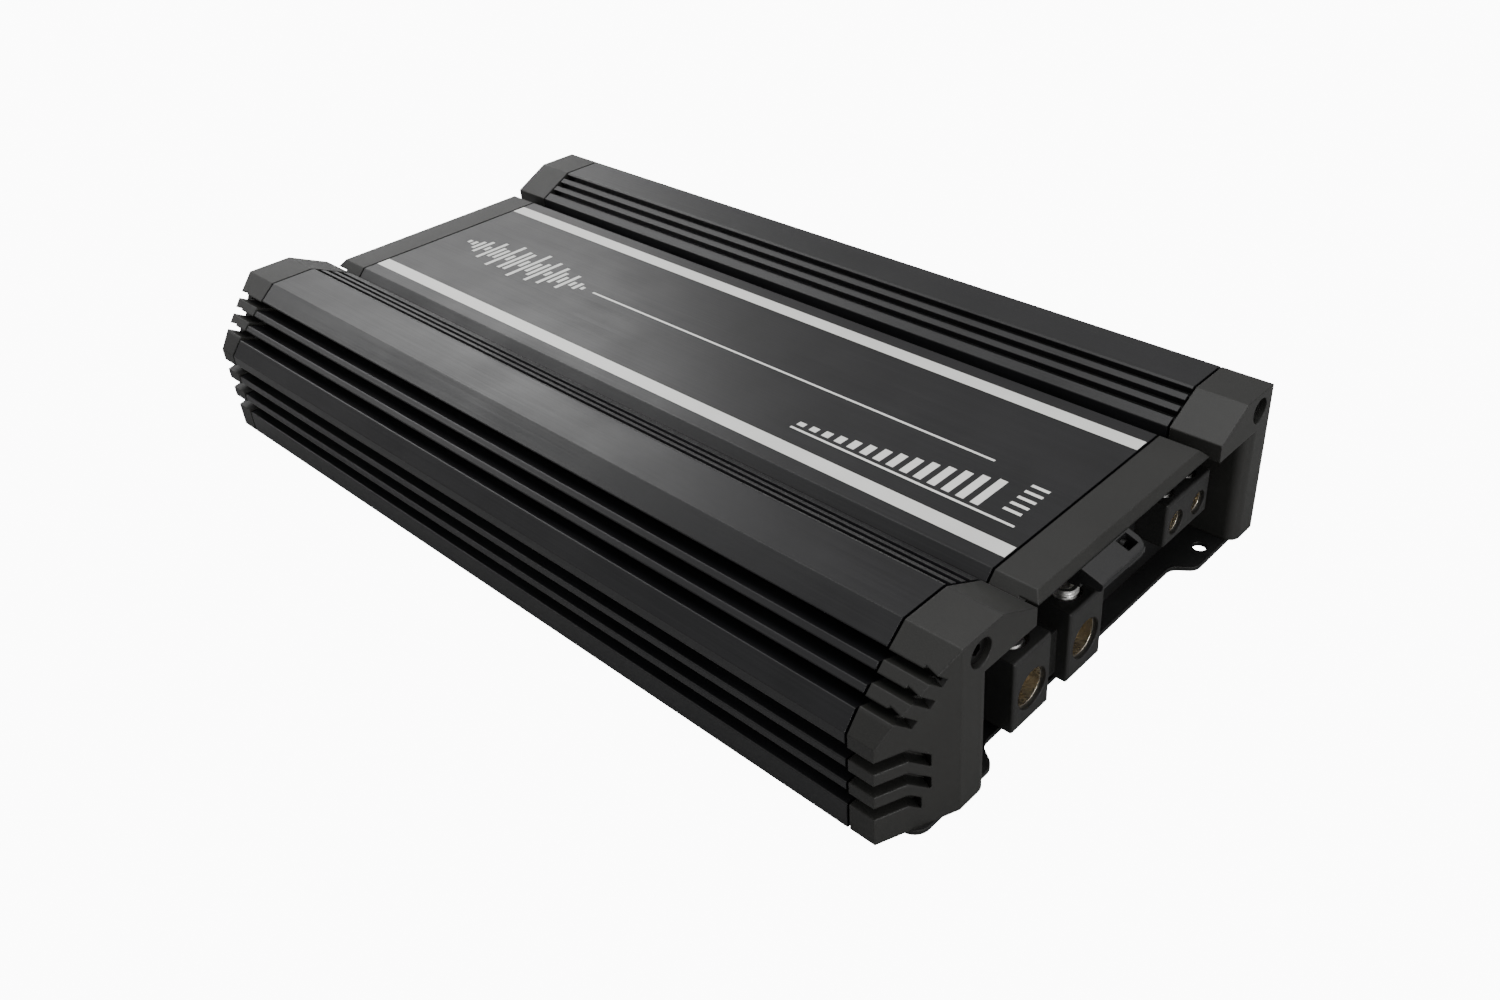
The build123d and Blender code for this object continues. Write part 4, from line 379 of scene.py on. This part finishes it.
# %% Build the five screws
AROUND = 60
STEPS_PER_PITCH = 8
GROOVE_HALF = 0.42            # half the groove's width, as a share of the pitch
TIP_LENGTH, TIP_RADIUS = 0.25, 0.72          # shares of the screw's radius
CROWN = 0.9                   # chamfer at the top, as a share of the thread's depth
SOCKET_DEPTH = 0.45           # share of the screw's length
SOCKET_LEAD, SOCKET_FLARE = 0.25 * MM, 0.4 * MM


def thread_radius(outer, depth, pitch, height, angle):
    """Radius of a thread with flat crests, at a height and an angle."""
    phase = (height / pitch + angle / (2 * math.pi)) % 1
    groove = max(0.0, 1 - abs(phase - 0.5) / GROOVE_HALF)
    return outer - depth * groove


def hexagon_radius(across_flats, angle):
    """Distance from the middle of a hexagon to its border, in the direction of an angle."""
    sector = math.pi / 3
    return across_flats / 2 / math.cos((angle + sector / 2) % sector - sector / 2)


def threaded_screw(node, pitch, depth, across_flats):
    """A headless screw with the box of its CAD node, sizes in metres."""
    low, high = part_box(node)
    outer = (high.x - low.x) / 2
    middle = Vector(((low.x + high.x) / 2, (low.y + high.y) / 2, 0))
    angles = [2 * math.pi * i / AROUND for i in range(AROUND)]
    crown = depth * CROWN
    threaded = high.z - low.z - outer * TIP_LENGTH - crown

    def flat(radius, z):
        return [(radius, z)] * AROUND

    def hexagon(size, z):
        return [(hexagon_radius(size, angle), z) for angle in angles]

    rings = [hexagon(across_flats, high.z - (high.z - low.z) * SOCKET_DEPTH),
             hexagon(across_flats, high.z - SOCKET_LEAD),
             hexagon(across_flats + SOCKET_FLARE, high.z), flat(outer - crown, high.z)]
    steps = int(threaded / pitch * STEPS_PER_PITCH)
    for step in range(steps + 1):
        z = high.z - crown - threaded * step / steps
        rings.append([(thread_radius(outer, depth, pitch, z, angle), z) for angle in angles])
    rings.append(flat(outer * TIP_RADIUS, low.z))
    bm = bmesh.new()
    loops = [[bm.verts.new(middle + Vector((radius * math.cos(angle), radius * math.sin(angle), z)))
              for angle, (radius, z) in zip(angles, ring)] for ring in rings]
    for upper, lower in zip(loops, loops[1:]):
        for i in range(AROUND):
            j = (i + 1) % AROUND
            bm.faces.new((upper[i], upper[j], lower[j], lower[i]))
    bm.faces.new(loops[0])
    bm.faces.new(loops[-1])
    bmesh.ops.recalc_face_normals(bm, faces=bm.faces)
    mesh = bpy.data.meshes.new(node + "_threaded")
    bm.to_mesh(mesh)
    bm.free()
    finish_piece(node + "_threaded", mesh, zinc, node + "_body", stands_for=(node,))


SCREW_SIZES = {               # pitch, depth of thread and hexagon across flats, in millimetres
    "ground_clamp_screw": (1.25, 0.55, 4.0),
    "battery_clamp_screw": (1.25, 0.55, 4.0),
    "speaker_negative_clamp_screw": (0.8, 0.35, 2.5),
    "speaker_positive_clamp_screw": (0.8, 0.35, 2.5),
    "remote_clamp_screw": (0.5, 0.22, 1.5),
}
for screw, sizes in SCREW_SIZES.items():
    threaded_screw(screw, *(size * MM for size in sizes))

# %% [markdown]
# ## Windings
# The transformers and chokes are wound in one layer of thick enamelled wire. One turn is a rounded
# rectangle round the section of the ring. Geometry Nodes puts a copy at each of a circle of points,
# turned to face the ring's middle, after dropping the points in the gap between the winding's ends.
# One tree winds every ring, because only its sizes differ.


# %% The winding tree
GAP_AT = 0.955                # the gap lies past this share of the ring's radius
WIRE_BEND = 1.6               # radius of a turn's corners, in wire radii
BEND_POINTS, WIRE_SIDES = 4, 10


def group_input(tree, name, kind, default):
    """Add an input to a node group."""
    item = tree.interface.new_socket(name=name, in_out="INPUT", socket_type=kind)
    item.default_value = default
    return item


def winding_tree(material):
    """Node group that winds wire round a ring."""
    tree = bpy.data.node_groups.new("ring_winding", "GeometryNodeTree")
    group_input(tree, "Turns", "NodeSocketInt", 26)
    for name in ("Ring Radius", "Section Width", "Section Height", "Wire Radius", "Gap Side"):
        group_input(tree, name, "NodeSocketFloat", 0.01)
    tree.interface.new_socket(name="Geometry", in_out="OUTPUT", socket_type="NodeSocketGeometry")
    given = tree.nodes.new("NodeGroupInput").outputs
    circle = add(tree, "GeometryNodeMeshCircle", {"Vertices": given["Turns"], "Radius": given["Ring Radius"]})
    place = add(tree, "ShaderNodeSeparateXYZ", {0: add(tree, "GeometryNodeInputPosition").outputs[0]})
    towards_gap = add(tree, "ShaderNodeMath", {0: place.outputs["Y"], 1: given["Gap Side"]},
                      operation="MULTIPLY")
    limit = add(tree, "ShaderNodeMath", {0: given["Ring Radius"], 1: GAP_AT}, operation="MULTIPLY")
    in_gap = add(tree, "ShaderNodeMath", {0: towards_gap.outputs[0], 1: limit.outputs[0]},
                 operation="GREATER_THAN")
    kept = add(tree, "GeometryNodeDeleteGeometry",
               {"Geometry": circle.outputs["Mesh"], "Selection": in_gap.outputs[0]}, domain="POINT")
    outline = add(tree, "GeometryNodeCurvePrimitiveQuadrilateral",
                  {"Width": given["Section Width"], "Height": given["Section Height"]})
    corner = add(tree, "ShaderNodeMath", {0: given["Wire Radius"], 1: WIRE_BEND}, operation="MULTIPLY")
    soft = add(tree, "GeometryNodeFilletCurve",
               {"Curve": outline.outputs[0], "Radius": corner.outputs[0], "Count": BEND_POINTS}, mode="POLY")
    profile = add(tree, "GeometryNodeCurvePrimitiveCircle",
                  {"Resolution": WIRE_SIDES, "Radius": given["Wire Radius"]})
    turn = add(tree, "GeometryNodeCurveToMesh",
               {"Curve": soft.outputs[0], "Profile Curve": profile.outputs[0]})
    upright = add(tree, "GeometryNodeTransform",
                  {"Geometry": turn.outputs[0], "Rotation": (math.pi / 2, 0, 0)})
    bearing = add(tree, "ShaderNodeMath", {0: place.outputs["Y"], 1: place.outputs["X"]}, operation="ARCTAN2")
    facing = add(tree, "ShaderNodeCombineXYZ", {"Z": bearing.outputs[0]})
    copies = add(tree, "GeometryNodeInstanceOnPoints",
                 {"Points": kept.outputs[0], "Instance": upright.outputs[0], "Rotation": facing.outputs[0]})
    real = add(tree, "GeometryNodeRealizeInstances", {"Geometry": copies.outputs[0]})
    painted = add(tree, "GeometryNodeSetMaterial", {"Geometry": real.outputs[0], "Material": material})
    out = tree.nodes.new("NodeGroupOutput")
    tree.links.new(painted.outputs[0], out.inputs["Geometry"])
    print("winding tree has", len(tree.nodes), "nodes")
    return tree


def wound_mesh(tree, centre, values):
    """Bake one winding at its place, with its inputs given by name."""
    holder = bpy.data.objects.new("winding_holder", bpy.data.meshes.new("winding_holder"))
    bpy.context.scene.collection.objects.link(holder)
    modifier = holder.modifiers.new("winding", "NODES")
    modifier.node_group = tree
    for item in tree.interface.items_tree:
        if item.in_out == "INPUT":
            modifier[item.identifier] = values[item.name]
    evaluated = holder.evaluated_get(bpy.context.evaluated_depsgraph_get())
    mesh = bpy.data.meshes.new_from_object(evaluated)
    bpy.data.objects.remove(holder)
    mesh.transform(Matrix.Translation(centre))
    return mesh


# %% Wind both pairs of rings
WIRE = 1.0 * MM
TRANSFORMER_BORE, TRANSFORMER_TURNS = 11 * MM, 28
CHOKE_BORE, CHOKE_TURNS = 9 * MM, 22
windings = winding_tree(copper)


def wind_pair(name, core_node, winding_node, inner_radius, turns, gap_side):
    """Wind the two rings of a core node and join them as one piece."""
    low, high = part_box(core_node)
    outer_radius = (high.y - low.y) / 2
    bm = bmesh.new()
    for x in (low.x + outer_radius, high.x - outer_radius):
        centre = Vector((x, (low.y + high.y) / 2, (low.z + high.z) / 2))
        part = wound_mesh(windings, centre, {
            "Turns": turns, "Ring Radius": (outer_radius + inner_radius) / 2, "Wire Radius": WIRE,
            "Section Width": outer_radius - inner_radius + 2 * WIRE,
            "Section Height": high.z - low.z + 2 * WIRE, "Gap Side": gap_side})
        bm.from_mesh(part)
    mesh = bpy.data.meshes.new(name)
    bm.to_mesh(mesh)
    bm.free()
    for polygon in mesh.polygons:
        polygon.use_smooth = True
    finish_piece(name, mesh, copper, "root", stands_for=(winding_node,))


wind_pair("transformer_wire_turns", "transformer_cores", "transformer_windings",
          TRANSFORMER_BORE, TRANSFORMER_TURNS, -1.0)
wind_pair("choke_wire_turns", "output_choke_cores", "output_choke_windings",
          CHOKE_BORE, CHOKE_TURNS, 1.0)

# %% [markdown]
# ## Small parts on the main board
# Between the transformers and the chokes lies a lane of small parts: banded resistors, diodes and
# dipped ceramic capacitors, each on tinned leads bent down into the board. They are rods and drops
# laid out by loops and joined into one piece for each finish, because nobody takes them apart.

# %% Rods and drops
board_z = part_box("main_board")[1].z


def add_rod(bm, start, end, radius, segments=12):
    """Add a cylinder between two points to a mesh that is being built."""
    along = Vector(end) - Vector(start)
    turn = along.to_track_quat("Z", "Y").to_matrix().to_4x4()
    place = Matrix.Translation((Vector(start) + Vector(end)) / 2) @ turn
    bmesh.ops.create_cone(bm, cap_ends=True, segments=segments, radius1=radius, radius2=radius,
                          depth=along.length, matrix=place)


def save_piece(name, bm, material):
    """Turn a finished bmesh into a piece of the case."""
    mesh = bpy.data.meshes.new(name)
    bm.to_mesh(mesh)
    bm.free()
    finish_piece(name, mesh, material, "root")


# %% Lay out the lane
LANE_FROM, LANE_PITCH, LANE_PARTS = -78.0, 7.2, 21
LANE_Y, STEPPED_Y = -3.0, 1.5                # every third part steps aside
BODY_HALF, BODY_RADIUS, BODY_SIDES = 3.2, 1.25, 20
LEAD_HALF, LEAD_RADIUS, LIFT = 5.4, 0.3, 2.1
LEAD_FOOT = board_z + 0.02 * MM
BAND_SHIFTS, BAND_HALF, BAND_RADIUS = (-1.9, -0.8, 0.3, 1.9), 0.25, 1.29
bodies, bands, diodes, leads = bmesh.new(), bmesh.new(), bmesh.new(), bmesh.new()
for index in range(LANE_PARTS):
    x = (LANE_FROM + LANE_PITCH * index) * MM
    y = (LANE_Y if index % 3 else STEPPED_Y) * MM
    z = board_z + LIFT * MM
    is_diode = index % 4 == 3
    add_rod(diodes if is_diode else bodies, (x, y - BODY_HALF * MM, z), (x, y + BODY_HALF * MM, z),
            BODY_RADIUS * MM, BODY_SIDES)
    for shift in BAND_SHIFTS[:1] if is_diode else BAND_SHIFTS:
        add_rod(bands, (x, y + (shift - BAND_HALF) * MM, z), (x, y + (shift + BAND_HALF) * MM, z),
                BAND_RADIUS * MM, BODY_SIDES)
    add_rod(leads, (x, y - LEAD_HALF * MM, z), (x, y + LEAD_HALF * MM, z), LEAD_RADIUS * MM)
    for side in (-1, 1):
        end_y = y + side * LEAD_HALF * MM
        add_rod(leads, (x, end_y, z + LEAD_RADIUS * MM), (x, end_y, LEAD_FOOT), LEAD_RADIUS * MM)

DROP_FROM, DROP_PITCH, DROPS, DROP_Y = -74.0, 12.6, 12, 11.5
DROP_RADII, DROP_HEIGHT = (2.6 * MM, 1.2 * MM, 2.9 * MM), 4.6
DROP_LEAD_HALF, DROP_LEAD_TOP = 1.27, 3.2
drops = bmesh.new()
for index in range(DROPS):
    x, y = (DROP_FROM + DROP_PITCH * index) * MM, DROP_Y * MM
    shape = Matrix.Translation((x, y, board_z + DROP_HEIGHT * MM)) @ Matrix.Diagonal((*DROP_RADII, 1))
    bmesh.ops.create_uvsphere(drops, u_segments=20, v_segments=12, radius=1.0, matrix=shape)
    for side in (-1, 1):
        lead_x = x + side * DROP_LEAD_HALF * MM
        add_rod(leads, (lead_x, y, LEAD_FOOT), (lead_x, y, board_z + DROP_LEAD_TOP * MM), LEAD_RADIUS * MM)
save_piece("resistor_bodies", bodies, resistor_body)
save_piece("resistor_bands", bands, resistor_band)
save_piece("diodes", diodes, diode_body)
save_piece("component_leads", leads, tinned)
save_piece("ceramic_capacitors", drops, ceramic)

# %% [markdown]
# ## Floor
# The object stands on white paper. To the camera the paper glows, so that it is plain white
# everywhere. To every other ray it is mid grey, because glowing paper would light the dark
# undersides far too much. A Light Path node tells the two kinds of ray apart.

# %% Floor
FLOOR_HALF = 6.0
GLOW_SHARE = 0.8              # the rest is paper, which keeps a trace of shadow
SEEN_WHITE = 14.0             # strength at which the stage is seen as plain white
floor_mesh = bpy.data.meshes.new("floor")
floor_mesh.from_pydata([(-FLOOR_HALF, -FLOOR_HALF, 0), (FLOOR_HALF, -FLOOR_HALF, 0),
                        (FLOOR_HALF, FLOOR_HALF, 0), (-FLOOR_HALF, FLOOR_HALF, 0)], [], [(0, 1, 2, 3)])
floor = bpy.data.objects.new("floor", floor_mesh)
bpy.context.scene.collection.objects.link(floor)
floor_paper = bpy.data.materials.new("white_paper_floor")
floor_paper.use_nodes = True
tree = floor_paper.node_tree
paper = tree.nodes["Principled BSDF"]
paper.inputs["Base Color"].default_value = linear("#8c8c8c")
paper.inputs["Roughness"].default_value = 0.9
shine = add(tree, "ShaderNodeEmission", {"Color": linear("#ffffff"), "Strength": SEEN_WHITE})
seen = add(tree, "ShaderNodeLightPath").outputs["Is Camera Ray"]
share = add(tree, "ShaderNodeMath", {0: seen, 1: GLOW_SHARE}, operation="MULTIPLY")
blend = add(tree, "ShaderNodeMixShader", {0: share.outputs[0], 1: paper.outputs[0], 2: shine.outputs[0]})
tree.links.new(blend.outputs[0], tree.nodes["Material Output"].inputs["Surface"])
floor_mesh.materials.append(floor_paper)
print("floor reaches", FLOOR_HALF, "m each way")


# %% [markdown]
# ## Lights
# Black metal shows its shape by what it reflects. A wide soft box overhead gives the flat faces
# an even grey. Two boxes past the control end draw the gradient that runs along the ridges, a
# narrow strip there picks out the edges, and a low card lights the far rim. Weak fills in front
# open up the terminal end and the insides of the sockets.

# %% Soft boxes
def soft_box(name, place, target, size, power):
    """A rectangular area light at a place, turned to face a target."""
    light = bpy.data.lights.new(name, "AREA")
    light.shape = "RECTANGLE"
    light.size, light.size_y = size
    light.energy = power
    lamp = bpy.data.objects.new(name, light)
    lamp.location = place
    lamp.rotation_euler = (Vector(target) - Vector(place)).to_track_quat("-Z", "Y").to_euler()
    bpy.context.scene.collection.objects.link(lamp)
    print(name, "gives", power, "W")


CENTRE = (0, 0, 0.03)
SOCKETS = (0.16, -0.02, 0.02)
soft_box("overhead_box", (0.3, 0.2, 1.6), CENTRE, (1.6, 1.6), 19)
soft_box("far_end_box", (-1.17, 0.56, 0.80), CENTRE, (0.55, 0.42), 3.0)
soft_box("near_side_box", (-1.20, -0.58, 0.80), CENTRE, (0.45, 0.35), 2.2)
soft_box("edge_strip", (-1.08, -0.06, 1.04), CENTRE, (0.18, 0.75), 3.0)
soft_box("horizon_card", (-1.05, 1.10, 0.07), CENTRE, (1.3, 0.14), 1.3)
soft_box("front_fill", (1.3, -0.25, 0.50), CENTRE, (0.9, 0.5), 6.5)
soft_box("bore_fill", (1.2, -0.35, 0.12), CENTRE, (0.3, 0.15), 3.5)
soft_box("terminal_fill", (0.72, -0.34, 0.20), SOCKETS, (0.22, 0.12), 0.35)

# %% [markdown]
# ## The room
# The light that comes from no lamp is a dim dome, brighter overhead than at the horizon, which leaves
# the side faces darker than the top. The camera sees plain white instead, so that the floor has
# no horizon line.

# %% World
DOME_LOW, DOME_HIGH, DOME_FULL_AT = 0.24, 0.6, 0.9
world = bpy.data.worlds.new("studio")
bpy.context.scene.world = world
world.use_nodes = True
tree = world.node_tree
height = add(tree, "ShaderNodeSeparateXYZ", {0: add(tree, "ShaderNodeTexCoord").outputs["Generated"]})
sky = add(tree, "ShaderNodeMapRange", {"Value": height.outputs["Z"], "From Max": DOME_FULL_AT,
                                       "To Min": DOME_LOW, "To Max": DOME_HIGH})
tree.nodes["Background"].inputs["Color"].default_value = (1, 1, 1, 1)
tree.links.new(sky.outputs[0], tree.nodes["Background"].inputs["Strength"])
white = add(tree, "ShaderNodeBackground", {"Color": (1, 1, 1, 1), "Strength": SEEN_WHITE})
seen = add(tree, "ShaderNodeLightPath").outputs["Is Camera Ray"]
either = add(tree, "ShaderNodeMixShader", {0: seen, 1: tree.nodes["Background"].outputs[0],
                                           2: white.outputs[0]})
tree.links.new(either.outputs[0], tree.nodes["World Output"].inputs["Surface"])
print("dome strength", DOME_LOW, "to", DOME_HIGH)

# %% [markdown]
# ## Camera
# A wide view from close by, about 33 degrees above the floor, with a slight roll. The three
# directions of the camera are worked out from its angles, and become the columns of its matrix.

# %% Camera
CAMERA_AT = (0.30398, -0.25954, 0.25600)
AZIMUTH, ELEVATION, ROLL = math.radians(43.495), math.radians(33.244), math.radians(-2.825)
back = Vector((math.sin(AZIMUTH) * math.cos(ELEVATION), -math.cos(AZIMUTH) * math.cos(ELEVATION),
               math.sin(ELEVATION)))
level = Vector((math.cos(AZIMUTH), math.sin(AZIMUTH), 0))
upright = back.cross(level)
right = level * math.cos(ROLL) + upright * math.sin(ROLL)
up = upright * math.cos(ROLL) - level * math.sin(ROLL)
lens = bpy.data.cameras.new("camera")
lens.lens = 31.19
lens.sensor_width = 36
lens.shift_x, lens.shift_y = -0.0559, -0.0261
lens.clip_start = 0.01
camera = bpy.data.objects.new("camera", lens)
camera.matrix_world = Matrix.Translation(CAMERA_AT) @ Matrix((right, up, back)).transposed().to_4x4()
bpy.context.scene.collection.objects.link(camera)
bpy.context.scene.camera = camera
print("camera stands", round(Vector(CAMERA_AT).length, 3), "m from the middle of the base")
